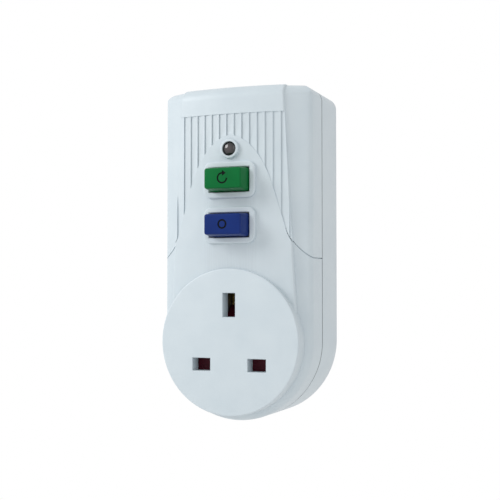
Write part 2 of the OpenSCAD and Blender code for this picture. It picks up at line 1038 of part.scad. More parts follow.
module socket_shutter() {
    slope_foot = earth_rise - earth_slot_h / 2 - touch_gap;
    slope_end = ramp_back - ramp_lip;
    color([0.25, 0.07, 0.12])
        union() {
            slab(shutter_y, shutter_y + shutter_t)
                difference() {
                    union() {
                        polygon([
                            [-shutter_half, shutter_high],
                            [shutter_half, shutter_high],
                            [shutter_half, shutter_low + shutter_cut],
                            [shutter_half - shutter_cut, shutter_low],
                            [shutter_cut - shutter_half, shutter_low],
                            [-shutter_half, shutter_low + shutter_cut]
                        ]);
                        translate([-ramp_half, 0])
                            square([2 * ramp_half, neck_top]);
                    }
                    for (side = [-1, 1])
                        translate([side * line_x, window_z])
                            square([window_w, window_h], center = true);
                }
            sideways(-ramp_half, ramp_half)
                polygon([
                    [shutter_y, ramp_low], [shutter_y, slope_foot],
                    [slope_end, ramp_top], [ramp_back, ramp_top], [ramp_back, ramp_low]
                ]);
            block(
                [-foot_half, shutter_spring_y - foot_half + touch_gap, shutter_low],
                [foot_half, shutter_y + shutter_t, shutter_low + foot_t]
            );
        }
}

module shutter_spring() {
    color("lightgray")
        translate([0, shutter_spring_y, spring_shelf])
            coil_spring(shutter_spring_d, shutter_spring_wire, 6, shutter_low - spring_shelf);
}

// A folded contact, open towards the front, drawn as depth and grip
module clip_outline(front, back, gap) {
    g = gap / 2;
    mouth = 2;
    polygon([
        [front, g + flare], [front + mouth, g], [back - clip_t, g],
        [back - clip_t, -g], [front + mouth, -g], [front, -g - flare],
        [front, -g - flare - clip_t], [front + mouth, -g - clip_t], [back, -g - clip_t],
        [back, g + clip_t], [front + mouth, g + clip_t], [front, g + flare + clip_t]
    ]);
}

module line_contact(side) {
    back = clip_front + clip_l;
    color("goldenrod")
        translate([side * line_x, 0, line_z]) {
            sideways(-clip_w / 2, clip_w / 2)
                clip_outline(clip_front, back, clip_gap);
            block([-bar_w / 2, back - clip_t, -bar_t / 2], [bar_w / 2, out_bar_y, bar_t / 2]);
        }
}

module live_socket_contact() {
    line_contact(1);
}

module neutral_socket_contact() {
    line_contact(-1);
}

module earth_socket_contact() {
    color("goldenrod")
        translate([0, 0, earth_rise])
            upright(-earth_h / 2, earth_h / 2)
                rotate(90)
                    mirror([0, 1])
                        clip_outline(earth_clip_front, earth_clip_front + clip_l, earth_clip_gap);
}

// Plug pins

// A flat pin with an eased tip, along Y
module flat_pin(w, h, y0, y1) {
    ease = 1.4;
    inset = 0.8;
    intersection() {
        upright(-far, far)
            polygon([
                [-w / 2, y0], [w / 2, y0], [w / 2, y1 - ease], [w / 2 - inset, y1],
                [inset - w / 2, y1], [-w / 2, y1 - ease]
            ]);
        sideways(-far, far)
            polygon([
                [y0, -h / 2], [y1 - ease, -h / 2], [y1, inset - h / 2],
                [y1, h / 2 - inset], [y1 - ease, h / 2], [y0, h / 2]
            ]);
    }
}

module pin_flange(w, h) {
    half_x = w / 2 + flange_margin;
    half_z = h / 2 + flange_margin;
    block([-half_x, flange_front, -half_z], [half_x, y_rear_in, half_z]);
}

module line_pin(side) {
    neck_w = pin_w - 2 * sleeve_t;
    neck_h = pin_h - 2 * sleeve_t;
    color("goldenrod")
        translate([side * line_x, 0, line_z]) {
            flat_pin(pin_w, pin_h, sleeve_l, pin_l);
            block([-neck_w / 2, -skin, -neck_h / 2], [neck_w / 2, sleeve_l + skin, neck_h / 2]);
            block([-pin_w / 2, y_rear_in - skin, -pin_h / 2], [pin_w / 2, 0, pin_h / 2]);
            pin_flange(pin_w, pin_h);
            rod_y(rivet_d, in_bar_y - rivet_proud, flange_front + skin);
        }
}

module live_pin() {
    line_pin(1);
}

module neutral_pin() {
    line_pin(-1);
}

module earth_pin() {
    color("goldenrod")
        translate([0, 0, earth_rise]) {
            flat_pin(earth_w, earth_h, y_rear_in - skin, earth_l);
            pin_flange(earth_w, earth_h);
        }
}

module line_sleeve(side) {
    color("black")
        translate([side * line_x, 0, line_z])
            slab(0, sleeve_l)
                difference() {
                    square([pin_w, pin_h], center = true);
                    square([pin_w - 2 * sleeve_t, pin_h - 2 * sleeve_t], center = true);
                }
}

module live_pin_sleeve() {
    line_sleeve(1);
}

module neutral_pin_sleeve() {
    line_sleeve(-1);
}

// Current bars

module input_bar(side) {
    tab_top = board_low + bar_tab;
    foot = line_z - 0.6 * bar_w;
    color("peru")
        translate([side * line_x, 0, 0]) {
            difference() {
                block([-bar_w / 2, in_bar_y, foot], [bar_w / 2, flange_front, tab_top]);
                translate([0, 0, line_z])
                    rod_y(rivet_d + 2 * fit_gap, in_bar_y - 1, flange_front + 1);
            }
            block([-bar_w / 2, board_back, tab_top - bar_t], [bar_w / 2, flange_front, tab_top]);
        }
}

module live_input_bar() {
    input_bar(1);
}

module neutral_input_bar() {
    input_bar(-1);
}

module output_bar(side) {
    reach = board_low + bar_w;
    color("peru")
        mirror([side > 0 ? 0 : 1, 0, 0])
            slab(out_bar_y, board_front) {
                translate([line_x - bar_w / 2, line_z - bar_w / 2])
                    square([out_bar_x - line_x + bar_w, bar_w]);
                translate([out_bar_x - bar_w / 2, line_z - bar_w / 2])
                    square([bar_w, reach - line_z + bar_w / 2]);
            }
}

module live_output_bar() {
    output_bar(1);
}

module neutral_output_bar() {
    output_bar(-1);
}

module earth_strap() {
    color("peru")
        translate([0, 0, earth_rise])
            block([-bar_w / 2, earth_clip_front + clip_l, -bar_t / 2], [bar_w / 2, flange_front, bar_t / 2]);
}

// Board

module board_outline() {
    notch_w = board_half - tower_upper[0] + tower_r + 1;
    notch_h = board_high - tower_upper[1] + tower_r + 1;
    difference() {
        translate([-board_half, board_low])
            square([2 * board_half, board_high - board_low]);
        for (side = [-1, 1])
            translate([side * board_half, board_high])
                square([2 * notch_w, 2 * notch_h], center = true);
    }
}

module circuit_board() {
    color("darkgreen")
        difference() {
            slab(board_front, board_back)
                board_outline();
            at_board_screws()
                rod_y(board_screw_d + 2 * fit_gap, board_front - 1, board_back + 1);
        }
}

module board_screws() {
    color("silver")
        at_board_screws()
            screw(board_screw_d, small_head_d, small_head_t, board_front, board_screw_l, -1);
}

module mechanism_frame() {
    color("ivory")
        difference() {
            union() {
                block([-frame_half, plate_front, frame_low], [frame_half, plate_back, frame_high + frame_t]);
                for (z = [frame_low, frame_mid - frame_t / 2, frame_high])
                    block([-frame_wall_half, plate_front, z], [frame_wall_half, board_front, z + frame_t]);
            }
            at_buttons()
                rod_y(stem_d + 2 * slide_gap, plate_front - 1, plate_back + 1);
        }
}

// Contacts and buttons

module contact_carriage() {
    recess = [5, 2.4, 6];
    color("linen")
        translate([0, 0, reset_z])
            difference() {
                block(
                    [-carriage_half, carriage_front, -carriage_h / 2],
                    [carriage_half, carriage_back, carriage_h / 2]
                );
                for (side = [-1, 1])
                    translate([side * carriage_half * 0.6, carriage_front, 0])
                        cube(recess, center = true);
            }
}

module moving_contacts() {
    color("peru")
        for (pole = [-1, 1])
            translate([0, 0, reset_z + pole * blade_z]) {
                block([-blade_half, carriage_back, -blade_w / 2], [blade_half, carriage_back + bar_t, blade_w / 2]);
                for (side = [-1, 1])
                    translate([side * tip_x, 0, 0])
                        rod_y(tip_d, carriage_back + bar_t / 2, tip_end);
            }
}

module fixed_contacts() {
    color("peru")
        for (pole = [-1, 1])
            for (side = [-1, 1])
                translate([side * tip_x, 0, reset_z + pole * blade_z]) {
                    rod_y(tip_d, fixed_top, board_front);
                    rod_y(tip_d + 1, (fixed_top + board_front) / 2, board_front);
                }
}

module carriage_spring() {
    color("lightgray")
        translate([0, board_front, reset_z])
            rotate([90, 0, 0])
                coil_spring(carriage_spring_d, inner_wire, 5, board_front - carriage_back);
}

// A drafted button with its flange and stem, centred on its own axis
module button(stem_end) {
    top = y_face - button_out;
    w = button_w / 2;
    h = button_h / 2;
    d = button_draft;
    b = button_bevel;
    intersection() {
        upright(-far, far)
            polygon([
                [-w, flange_mid], [-w, y_face], [d - w, top + b], [d + b - w, top],
                [w - d - b, top], [w - d, top + b], [w, y_face], [w, flange_mid]
            ]);
        sideways(-far, far)
            polygon([
                [flange_mid, -h], [y_face, -h], [top + b, d - h], [top, d + b - h],
                [top, h - d - b], [top + b, h - d], [y_face, h], [flange_mid, h]
            ]);
    }
    block([-w - flange_lip, flange_y, -h - flange_lip], [w + flange_lip, stem_y, h + flange_lip]);
    rod_y(stem_d, flange_mid, stem_end);
}

module reset_button() {
    color([0.09, 0.4, 0.22])
        translate([0, 0, reset_z])
            button(carriage_front - touch_gap);
}

module test_button() {
    color([0.14, 0.2, 0.44])
        translate([0, 0, test_z])
            button(test_tip);
}

module button_spring() {
    translate([0, plate_front, 0])
        rotate([90, 0, 0])
            coil_spring(button_spring_d, spring_wire, 5, plate_front - stem_y);
}

module reset_spring() {
    color("lightgray")
        translate([0, 0, reset_z])
            button_spring();
}

module test_spring() {
    color("lightgray")
        translate([0, 0, test_z])
            button_spring();
}

module test_contact() {
    color("peru")
        translate([0, 0, test_z]) {
            block([leaf_x[0], leaf_y, -leaf_w / 2], [leaf_x[1], leaf_y + leaf_t, leaf_w / 2]);
            block([leaf_x[0], leaf_y, -leaf_w / 2], [leaf_x[0] + leaf_t, board_front, leaf_w / 2]);
        }
}

module test_terminal() {
    color("peru")
        translate([0, 0, test_z])
            block([leaf_x[1] - terminal_w, terminal_front, -leaf_w / 2], [leaf_x[1], board_front, leaf_w / 2]);
}

// Indicator

module indicator_lens() {
    dome_r = 0.75 * lens_d;
    dome_h = dome_r - sqrt(pow(dome_r, 2) - pow(lens_d / 2, 2));
    dome_y = y_face - lens_proud;
    lip_y = y_inner + touch_gap;
    color([0.15, 0.12, 0.13])
        translate([0, 0, lens_z])
            rotate([-90, 0, 0])
                rotate_extrude() {
                    intersection() {
                        translate([0, dome_y + dome_r])
                            circle(dome_r);
                        translate([0, dome_y - skin])
                            square([lens_d / 2, skin + lens_back - dome_y]);
                    }
                    translate([0, dome_y + dome_h])
                        square([lens_d / 2, lens_back - dome_y - dome_h]);
                    translate([0, lip_y])
                        square([ring_d / 2, lens_back - lip_y]);
                }
}

module indicator_lamp() {
    lamp_front = lens_back + slide_gap;
    lamp_back = lamp_front + lamp_l;
    leg_x = lamp_d / 4;
    leg_d = 0.7;
    color("orange")
        translate([0, 0, lens_z]) {
            rod_y(lamp_d, lamp_front, lamp_back);
            for (side = [-1, 1])
                translate([side * leg_x, 0, 0])
                    rod_y(leg_d, lamp_back - skin, board_front);
        }
}

// Trip coil

module at_coil() {
    translate([0, coil_y, coil_z])
        children();
}

module coil_bobbin() {
    x0 = yoke_x[0] + plate_t + touch_gap;
    x1 = yoke_x[1] - plate_t - touch_gap;
    color("beige")
        at_coil()
            difference() {
                union() {
                    rod_x(tube_d, x0, x1);
                    rod_x(bobbin_d, x0, x0 + cheek_t);
                    rod_x(bobbin_d, x1 - cheek_t, x1);
                }
                rod_x(bore_d, x0 - 1, x1 + 1);
            }
}

module coil_winding() {
    x0 = yoke_x[0] + plate_t + touch_gap + cheek_t;
    x1 = yoke_x[1] - plate_t - touch_gap - cheek_t;
    winding_d = bobbin_d - tube_wall;
    color("chocolate")
        at_coil()
            difference() {
                rod_x(winding_d, x0, x1);
                rod_x(tube_d, x0 - 1, x1 + 1);
            }
}

module coil_yoke() {
    color("slategray")
        difference() {
            union() {
                block(
                    [yoke_x[0], board_front - yoke_t, coil_z - yoke_half],
                    [yoke_x[1], board_front, coil_z + yoke_half]
                );
                for (x = [yoke_x[0], yoke_x[1] - plate_t])
                    block(
                        [x, coil_y - bobbin_d / 2, coil_z - yoke_half + skin],
                        [x + plate_t, board_front, coil_z + yoke_half - skin]
                    );
            }
            at_coil() {
                rod_x(bore_d, yoke_x[0] - 1, yoke_x[0] + plate_t + 1);
                rod_x(rod_d + 2 * slide_gap, yoke_x[1] - plate_t - 1, yoke_x[1] + 1);
            }
        }
}

module trip_plunger() {
    core_end = yoke_x[1] - plate_t - trip_stroke - skin;
    head_x = yoke_x[0] - plunger_spring_l;
    color("gray")
        at_coil() {
            rod_x(plunger_d, head_x - head_t / 2, core_end);
            rod_x(rod_d, core_end - skin, latch_x + nose_l);
            rod_x(head_d, head_x - head_t, head_x);
        }
}

module latch_plate() {
    x0 = latch_x + nose_l;
    color("gray") {
        block(
            [x0, nose_back - nose_t, latch_low],
            [x0 + latch_t, coil_y + latch_head, coil_z + latch_head]
        );
        block(
            [latch_x, nose_back - nose_t, latch_low],
            [x0 + latch_t / 2, nose_back, latch_low + nose_h]
        );
    }
}

module plunger_spring() {
    color("lightgray")
        translate([yoke_x[0] - plunger_spring_l, coil_y, coil_z])
            rotate([0, 90, 0])
                coil_spring(head_d, inner_wire, 3, plunger_spring_l);
}

// Sensing core

module at_core() {
    translate([core_x, core_y, core_z])
        children();
}

module core_section(grow) {
    translate([core_d / 2 - core_wall - grow, -core_h / 2 - grow])
        square([core_wall + 2 * grow, core_h + 2 * grow]);
}

module sensing_core() {
    color("darkslategray")
        at_core()
            rotate_extrude()
                core_section(0);
}

module core_winding() {
    color("chocolate")
        at_core()
            rotate_extrude(angle = 300)
                difference() {
                    core_section(winding_t);
                    core_section(0);
                }
}

module primary_leads() {
    run = core_h / 2 + winding_t + lead_d / 2 + slide_gap;
    color("firebrick")
        for (side = [-1, 1])
            translate([core_x + side * lead_x, core_y, core_z]) {
                translate([0, 0, -run])
                    cylinder(d = lead_d, h = 2 * run);
                for (end = [-1, 1])
                    translate([0, 0, end * run]) {
                        sphere(d = lead_d);
                        rod_y(lead_d, 0, board_front - core_y);
                    }
            }
}

// Electronics on the board

// A box that stands on the board, from its left lower corner
module on_board(x, z, w, d, h) {
    block([x, board_front - d, z], [x + w, board_front, z + h]);
}

module control_chip() {
    color("black")
        on_board(-chip_w / 2, coil_z + yoke_half + skin, chip_w, chip_d, chip_h);
}

module thyristor() {
    color("black")
        on_board(side_room - board_half, reset_z - thyristor_h / 2, thyristor_w, thyristor_d, thyristor_h);
}

module varistor() {
    color("royalblue")
        translate([side_room + disc_d / 3 - board_half, 0, (board_screw_z[0] + reset_z) / 2])
            rod_y(disc_d, board_front - disc_t, board_front);
}

module capacitors() {
    color("navy") {
        translate([board_half - can_d / 2 - can_in, 0, reset_z + can_lift])
            rod_y(can_d, board_front - can_l, board_front);
        on_board(latch_x - film_w, coil_z + latch_head + film_lift, film_w, film_d, film_h);
    }
}

module resistors() {
    color("tan")
        for (i = [-1.5:1.5])
            translate([i * bead_pitch - bead_l / 2, board_front - bead_d / 2, board_low + bead_d])
                rod_x(bead_d, 0, bead_l);
}

front_cover();
rear_cover();
cover_screws();
socket_base();
base_screws();
socket_shutter();
shutter_spring();
live_socket_contact();
neutral_socket_contact();
earth_socket_contact();
live_pin();
neutral_pin();
earth_pin();
live_pin_sleeve();
neutral_pin_sleeve();
live_input_bar();
neutral_input_bar();
live_output_bar();
neutral_output_bar();
earth_strap();
circuit_board();
board_screws();
mechanism_frame();
contact_carriage();
moving_contacts();
fixed_contacts();
carriage_spring();
reset_button();
reset_spring();
test_button();
test_spring();
test_contact();
test_terminal();
indicator_lens();
indicator_lamp();
coil_bobbin();
coil_winding();
coil_yoke();
trip_plunger();
latch_plate();
plunger_spring();
sensing_core();
core_winding();
primary_leads();
control_chip();
thyristor();
varistor();
capacitors();
resistors();
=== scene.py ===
"""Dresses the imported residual-current adapter: covers, buttons, lens, pins, springs, finishes and studio."""

import json
import logging
import math
from contextlib import contextmanager
from dataclasses import dataclass
from enum import Enum
from typing import Callable, ClassVar, Iterator, Sequence

import bmesh
import bpy
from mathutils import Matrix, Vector

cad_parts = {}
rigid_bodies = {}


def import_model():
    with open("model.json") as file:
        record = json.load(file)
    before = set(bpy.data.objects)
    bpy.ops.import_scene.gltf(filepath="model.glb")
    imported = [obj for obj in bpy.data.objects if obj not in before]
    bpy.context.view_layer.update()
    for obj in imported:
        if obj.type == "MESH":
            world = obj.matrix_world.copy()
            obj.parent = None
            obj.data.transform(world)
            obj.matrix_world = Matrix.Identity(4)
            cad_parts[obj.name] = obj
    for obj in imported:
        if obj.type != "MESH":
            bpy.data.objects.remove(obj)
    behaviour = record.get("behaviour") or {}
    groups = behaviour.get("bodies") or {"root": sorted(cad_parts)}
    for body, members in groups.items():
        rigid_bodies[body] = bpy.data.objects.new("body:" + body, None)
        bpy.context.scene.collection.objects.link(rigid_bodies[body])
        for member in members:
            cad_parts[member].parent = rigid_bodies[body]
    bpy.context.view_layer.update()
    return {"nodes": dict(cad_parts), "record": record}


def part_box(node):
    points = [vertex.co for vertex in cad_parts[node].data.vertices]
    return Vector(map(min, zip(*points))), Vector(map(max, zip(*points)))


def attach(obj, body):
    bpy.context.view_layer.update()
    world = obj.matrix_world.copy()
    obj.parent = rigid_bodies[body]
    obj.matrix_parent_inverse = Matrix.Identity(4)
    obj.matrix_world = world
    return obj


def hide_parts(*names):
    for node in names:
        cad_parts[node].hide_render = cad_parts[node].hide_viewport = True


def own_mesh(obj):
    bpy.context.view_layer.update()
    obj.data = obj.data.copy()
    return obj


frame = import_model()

log = logging.getLogger("adapter")

# A millimetre in metres; then, in millimetres, what counts as one place, the same for a clean cut,
# how far joined solids overlap, and how far a cutter or a root reaches past a surface
MM = 0.001
NEAR = 0.002
FINE = 0.0005
LAP = 0.05
PAST = 1.0
# The share of an edge's length that runs along Y at least, and the bend, in degrees, of what counts as flat
STRAIGHT = 0.9
FLAT = 0.05
UP = (0.0, 0.0, 1.0)
BACKWARDS = (0.0, 1.0, 0.0)

# Heights of the two buttons and the lens over the socket's middle, in millimetres
RESET_Z = 60.6
TEST_Z = 43.6
LENS_Z = 72.3

Point = Sequence[float]
Test = Callable[[Vector], bool]
Piece = bpy.types.Object
Tree = bpy.types.NodeTree
Node = bpy.types.Node
Socket = bpy.types.NodeSocket


class Pick(Enum):
    """What a selection is made of."""

    VERTS = "VERT"
    EDGES = "EDGE"
    FACES = "FACE"


class Carve(Enum):
    """How one solid works on another."""

    ADD = "UNION"
    CUT = "DIFFERENCE"
    KEEP = "INTERSECT"


class Mark(Enum):
    """The sign that is sunk into a button's face."""

    RETURN_ARROW = "return arrow"
    RING = "ring"


# Bench tools: all sizes that they take are in millimetres


def metres(values: Point) -> Vector:
    """Give a millimetre point in metres."""
    return Vector(values) * MM


def clear_selection() -> None:
    """Leave nothing selected."""
    bpy.ops.object.select_all(action="DESELECT")


def focus(piece: Piece) -> None:
    """Make one object the only selected and the active one.

    Args:
        piece: the object.
    """
    clear_selection()
    piece.select_set(True)
    bpy.context.view_layer.objects.active = piece


@contextmanager
def editing(piece: Piece) -> Iterator[None]:
    """Keep one object in edit mode for a while.

    Args:
        piece: the object to shape.
    """
    focus(piece)
    bpy.ops.object.mode_set(mode="EDIT")
    try:
        yield
    finally:
        bpy.ops.object.mode_set(mode="OBJECT")


def pick_all() -> None:
    """Select the whole mesh being edited."""
    bpy.ops.mesh.select_all(action="SELECT")


def pick_none() -> None:
    """Select nothing of the mesh being edited."""
    bpy.ops.mesh.select_all(action="DESELECT")


def settle(name: str) -> Piece:
    """Name the active object and put its place into its mesh.

    Args:
        name: the piece's name.

    Returns:
        The object, at the origin, unturned and unscaled.
    """
    piece = bpy.context.object
    piece.name = name
    piece.data.name = name
    bpy.ops.object.transform_apply(location=True, rotation=True, scale=True)
    return piece


def start_block(name: str, low: Point, high: Point) -> Piece:
    """Start a piece from a cube between two corners.

    Args:
        name: the piece's name.
        low: its lowest corner.
        high: its highest corner.

    Returns:
        The new object.
    """
    clear_selection()
    centre = (metres(low) + metres(high)) / 2
    size = metres(high) - metres(low)
    bpy.ops.mesh.primitive_cube_add(size=1, location=centre, scale=size)
    return settle(name)


def around(x: float, z: float, w: float, h: float, y0: float, y1: float) -> tuple[Point, Point]:
    """Give the corners of a box from y0 to y1 that reaches w across and h up and down from x and z."""
    return (x - w, y0, z - h), (x + w, y1, z + h)


def start_drum(name: str, radius: float, y0: float, y1: float, x: float = 0.0, z: float = 0.0,
               sides: int = 64) -> Piece:
    """Start a piece from a cylinder along Y.

    Args:
        name: the piece's name.
        radius: its radius.
        y0: its front end.
        y1: its rear end.
        x: the axis' place across.
        z: the axis' height.
        sides: how many sides it has.

    Returns:
        The new object.
    """
    clear_selection()
    bpy.ops.mesh.primitive_cylinder_add(
        vertices=sides, radius=radius * MM, depth=(y1 - y0) * MM,
        location=metres((x, (y0 + y1) / 2, z)), rotation=(math.pi / 2, 0, 0))
    return settle(name)


def drop_point(at: Point) -> None:
    """Add one selected vertex to the mesh being edited, from a plane merged at its centre.

    Args:
        at: its place.
    """
    pick_none()
    bpy.ops.mesh.primitive_plane_add(size=MM, location=metres(at))
    bpy.ops.mesh.merge(type="CENTER")


def start_point(name: str, at: Point) -> Piece:
    """Start a piece from one selected vertex.

    Args:
        name: the piece's name.
        at: the vertex' place.

    Returns:
        The new object.
    """
    clear_selection()
    bpy.ops.mesh.primitive_plane_add(size=MM, location=metres(at))
    piece = settle(name)
    with editing(piece):
        pick_all()
        bpy.ops.mesh.merge(type="CENTER")
    return piece


@contextmanager
def sketching(name: str, points: Sequence[Point]) -> Iterator[Piece]:
    """Start a piece as a line from point to point, and keep it in edit mode for a while.

    Args:
        name: the piece's name.
        points: the line's corners; its last one stays selected.

    Yields:
        The new object.
    """
    piece = start_point(name, points[0])
    with editing(piece):
        pick_all()
        draw(points[1:])
        yield piece


def pick(kind: Pick, test: Test) -> None:
    """Select, in the mesh being edited, what lies in a place.

    Args:
        kind: vertices, edges or faces.
        test: says whether a corner, in millimetres, lies there; every corner has to.
    """
    bpy.ops.mesh.select_mode(type=kind.value)
    pick_none()
    data = bpy.context.object.data
    mesh = bmesh.from_edit_mesh(data)
    parts = {Pick.VERTS: mesh.verts, Pick.EDGES: mesh.edges, Pick.FACES: mesh.faces}[kind]
    for part in parts:
        corners = [part] if kind is Pick.VERTS else part.verts
        if all(test(corner.co / MM) for corner in corners):
            part.select_set(True)
    bmesh.update_edit_mesh(data)


def level(y: float) -> Test:
    """Give the test for what lies in a plane across Y."""
    return lambda p: abs(p.y - y) < NEAR


def pick_runs(test: Test) -> None:
    """Select the edges in a place that run along Y.

    Args:
        test: says whether a corner, in millimetres, lies there.
    """
    pick(Pick.EDGES, test)
    data = bpy.context.object.data
    mesh = bmesh.from_edit_mesh(data)
    for edge in mesh.edges:
        run = edge.verts[0].co - edge.verts[1].co
        if edge.select and abs(run.y) < STRAIGHT * run.length:
            edge.select = False
    bmesh.update_edit_mesh(data)


def tip() -> Vector:
    """Give the place of the one selected vertex."""
    mesh = bmesh.from_edit_mesh(bpy.context.object.data)
    return next(v.co.copy() for v in mesh.verts if v.select)


def draw(points: Sequence[Point]) -> None:
    """Extrude the selected vertex from point to point.

    Args:
        points: where it goes, in order.
    """
    for point in points:
        step = metres(point) - tip()
        bpy.ops.mesh.extrude_vertices_move(TRANSFORM_OT_translate={"value": step})


def arc(centre: Point, axis: Point, degrees: float, steps: int) -> None:
    """Spin what is selected about an axis, counter-clockwise as seen against it."""
    bpy.ops.mesh.spin(steps=steps, angle=-math.radians(degrees), center=metres(centre), axis=axis)


def extrude(step: Point) -> None:
    """Extrude what is selected by a step."""
    bpy.ops.mesh.extrude_region_move(TRANSFORM_OT_translate={"value": metres(step)})


def resize(centre: Point, factors: Point) -> None:
    """Scale what is selected about a point."""
    bpy.ops.transform.resize(value=factors, center_override=metres(centre))


def bevel(width: float, segments: int) -> None:
    """Round the selected edges."""
    bpy.ops.mesh.bevel(offset=width * MM, segments=segments, profile=0.5, affect="EDGES",
                       clamp_overlap=False)


def round_runs(width: float, segments: int) -> None:
    """Round every edge that runs along Y."""
    pick_runs(lambda p: True)
    bevel(width, segments)


def round_level(y: float, width: float, segments: int) -> None:
    """Round the edges in a plane across Y."""
    pick(Pick.EDGES, level(y))
    bevel(width, segments)


def weld() -> None:
    """Merge doubles all over and turn every face outwards."""
    pick_all()
    bpy.ops.mesh.remove_doubles(threshold=NEAR * MM)
    pick_all()
    bpy.ops.mesh.normals_make_consistent(inside=False)


def slice_off(at: Point, normal: Point) -> None:
    """Cut away what lies beyond a plane and close the cut.

    Args:
        at: a point on the plane.
        normal: the side that goes.
    """
    pick_all()
    bpy.ops.mesh.bisect(plane_co=metres(at), plane_no=normal, use_fill=True, clear_outer=True,
                        threshold=FINE * MM)


def carve(piece: Piece, how: Carve, *tools: Piece) -> None:
    """Work a solid with others, which are used up.

    Args:
        piece: the solid that is changed.
        how: add, cut or keep.
        tools: the solids that it is worked with, one after another.
    """
    for tool in tools:
        focus(piece)
        step = piece.modifiers.new("carve", "BOOLEAN")
        step.operation = how.value
        step.solver = "EXACT"
        step.object = tool
        bpy.ops.object.modifier_apply(modifier=step.name)
        bpy.data.meshes.remove(tool.data)
        with editing(piece):
            pick_all()
            bpy.ops.mesh.remove_doubles(threshold=NEAR * MM)


def prism(name: str, outline: Sequence[Point], along: Point) -> Piece:
    """Make a solid from a closed outline pushed along a line.

    Args:
        name: the piece's name.
        outline: its corners in order.
        along: how far it is pushed.

    Returns:
        The new object.
    """
    with sketching(name, outline) as piece:
        pick_all()
        bpy.ops.mesh.edge_face_add()
        extrude(along)
        weld()
    return piece


def lathe(centre: Point, axis: Point, steps: int) -> None:
    """Turn the outline being edited into a closed solid of revolution.

    Args:
        centre: a point on the axis.
        axis: the axis' direction.
        steps: how many steps the turn has.
    """
    pick_all()
    arc(centre, axis, 360, steps)
    weld()


def mouth(name: str, low: Point, high: Point, y: float, flare: float) -> Piece:
    """Make a square-cornered hole cutter whose end at y widens by a flare.

    Args:
        name: the cutter's name.
        low: its lowest corner, whose y is its front end.
        high: its highest corner, whose y is its rear end.
        y: the face that it opens in; the flare starts behind it.
        flare: how much the hole widens there.

    Returns:
        The cutter.
    """
    outwards = -1.0 if abs(low[1] - y) < abs(high[1] - y) else 1.0
    end = low[1] if outwards < 0 else high[1]
    cutter = start_block(name, low, high)
    middle = [(a + b) / 2 for a, b in zip(low, high)]
    rise = flare + LAP
    grown = [1 + 2 * rise / (b - a) for a, b in zip(low, high)]
    with editing(cutter):
        pick(Pick.FACES, lambda p: abs(p.y - end) < NEAR)
        bpy.ops.transform.translate(value=metres((0, y - outwards * flare - end, 0)))
        extrude((0, outwards * rise, 0))
        resize(middle, (grown[0], 1, grown[2]))
        extrude((0, outwards, 0))
    return cutter


def copy_of(piece: Piece, name: str, shift: Point) -> Piece:
    """Copy a piece, with a mesh of its own, to another place.

    Args:
        piece: the piece that is copied.
        name: the copy's name.
        shift: how far the copy is moved.

    Returns:
        The copy.
    """
    focus(piece)
    bpy.ops.object.duplicate(linked=False)
    bpy.ops.transform.translate(value=metres(shift))
    return settle(name)


def joined(name: str, pieces: Sequence[Piece]) -> Piece:
    """Join objects into one.

    Args:
        name: the joined piece's name.
        pieces: the objects.

    Returns:
        The first of them, which holds them all.
    """
    focus(pieces[0])
    for piece in pieces[1:]:
        piece.select_set(True)
    bpy.ops.object.join()
    return settle(name)


def smooth(piece: Piece, degrees: float = 28.0) -> Piece:
    """Shade a piece smooth, with edges sharper than an angle kept, and give it back.

    Args:
        piece: the piece.
        degrees: the angle.

    Returns:
        The same piece.
    """
    focus(piece)
    bpy.ops.object.shade_smooth_by_angle(angle=math.radians(degrees))
    return piece


def quarter(reach: float, top: float, r: float, turns: Sequence[float]) -> list[tuple[float, float]]:
    """Give the corners of a round upper edge, as reach and height, at angles in degrees."""
    angles = [math.radians(turn) for turn in turns]
    return [(reach - r + r * math.cos(a), top - r + r * math.sin(a)) for a in angles]


def curve_point(p: Sequence[Point], t: float) -> tuple[float, float]:
    """Give the point of a cubic curve with four points p, at t from 0 to 1 along it."""
    k = ((1 - t) ** 3, 3 * t * (1 - t) ** 2, 3 * t * t * (1 - t), t ** 3)
    return sum(a * q[0] for a, q in zip(k, p)), sum(a * q[1] for a, q in zip(k, p))


def curve(p: Sequence[Point], steps: int) -> list[tuple[float, float]]:
    """Give the corners of a cubic curve with four points p, drawn in steps."""
    return [curve_point(p, i / steps) for i in range(steps + 1)]


# Finishes


def linear(colour: Point) -> tuple[float, float, float, float]:
    """Give a colour, written in 0 to 255 as on a screen, as the renderer's own numbers."""
    parts = [c / 255 for c in colour]
    return tuple(p / 12.92 if p <= 0.04045 else ((p + 0.055) / 1.055) ** 2.4 for p in parts) + (1.0,)


def feed(tree: Tree, slot: Socket, value: object) -> None:
    """Link an input to a socket, or set it to a value.

    Args:
        tree: the tree that both are in.
        slot: the input.
        value: a socket or a plain value.
    """
    if isinstance(value, Socket):
        tree.links.new(value, slot)
    else:
        slot.default_value = value


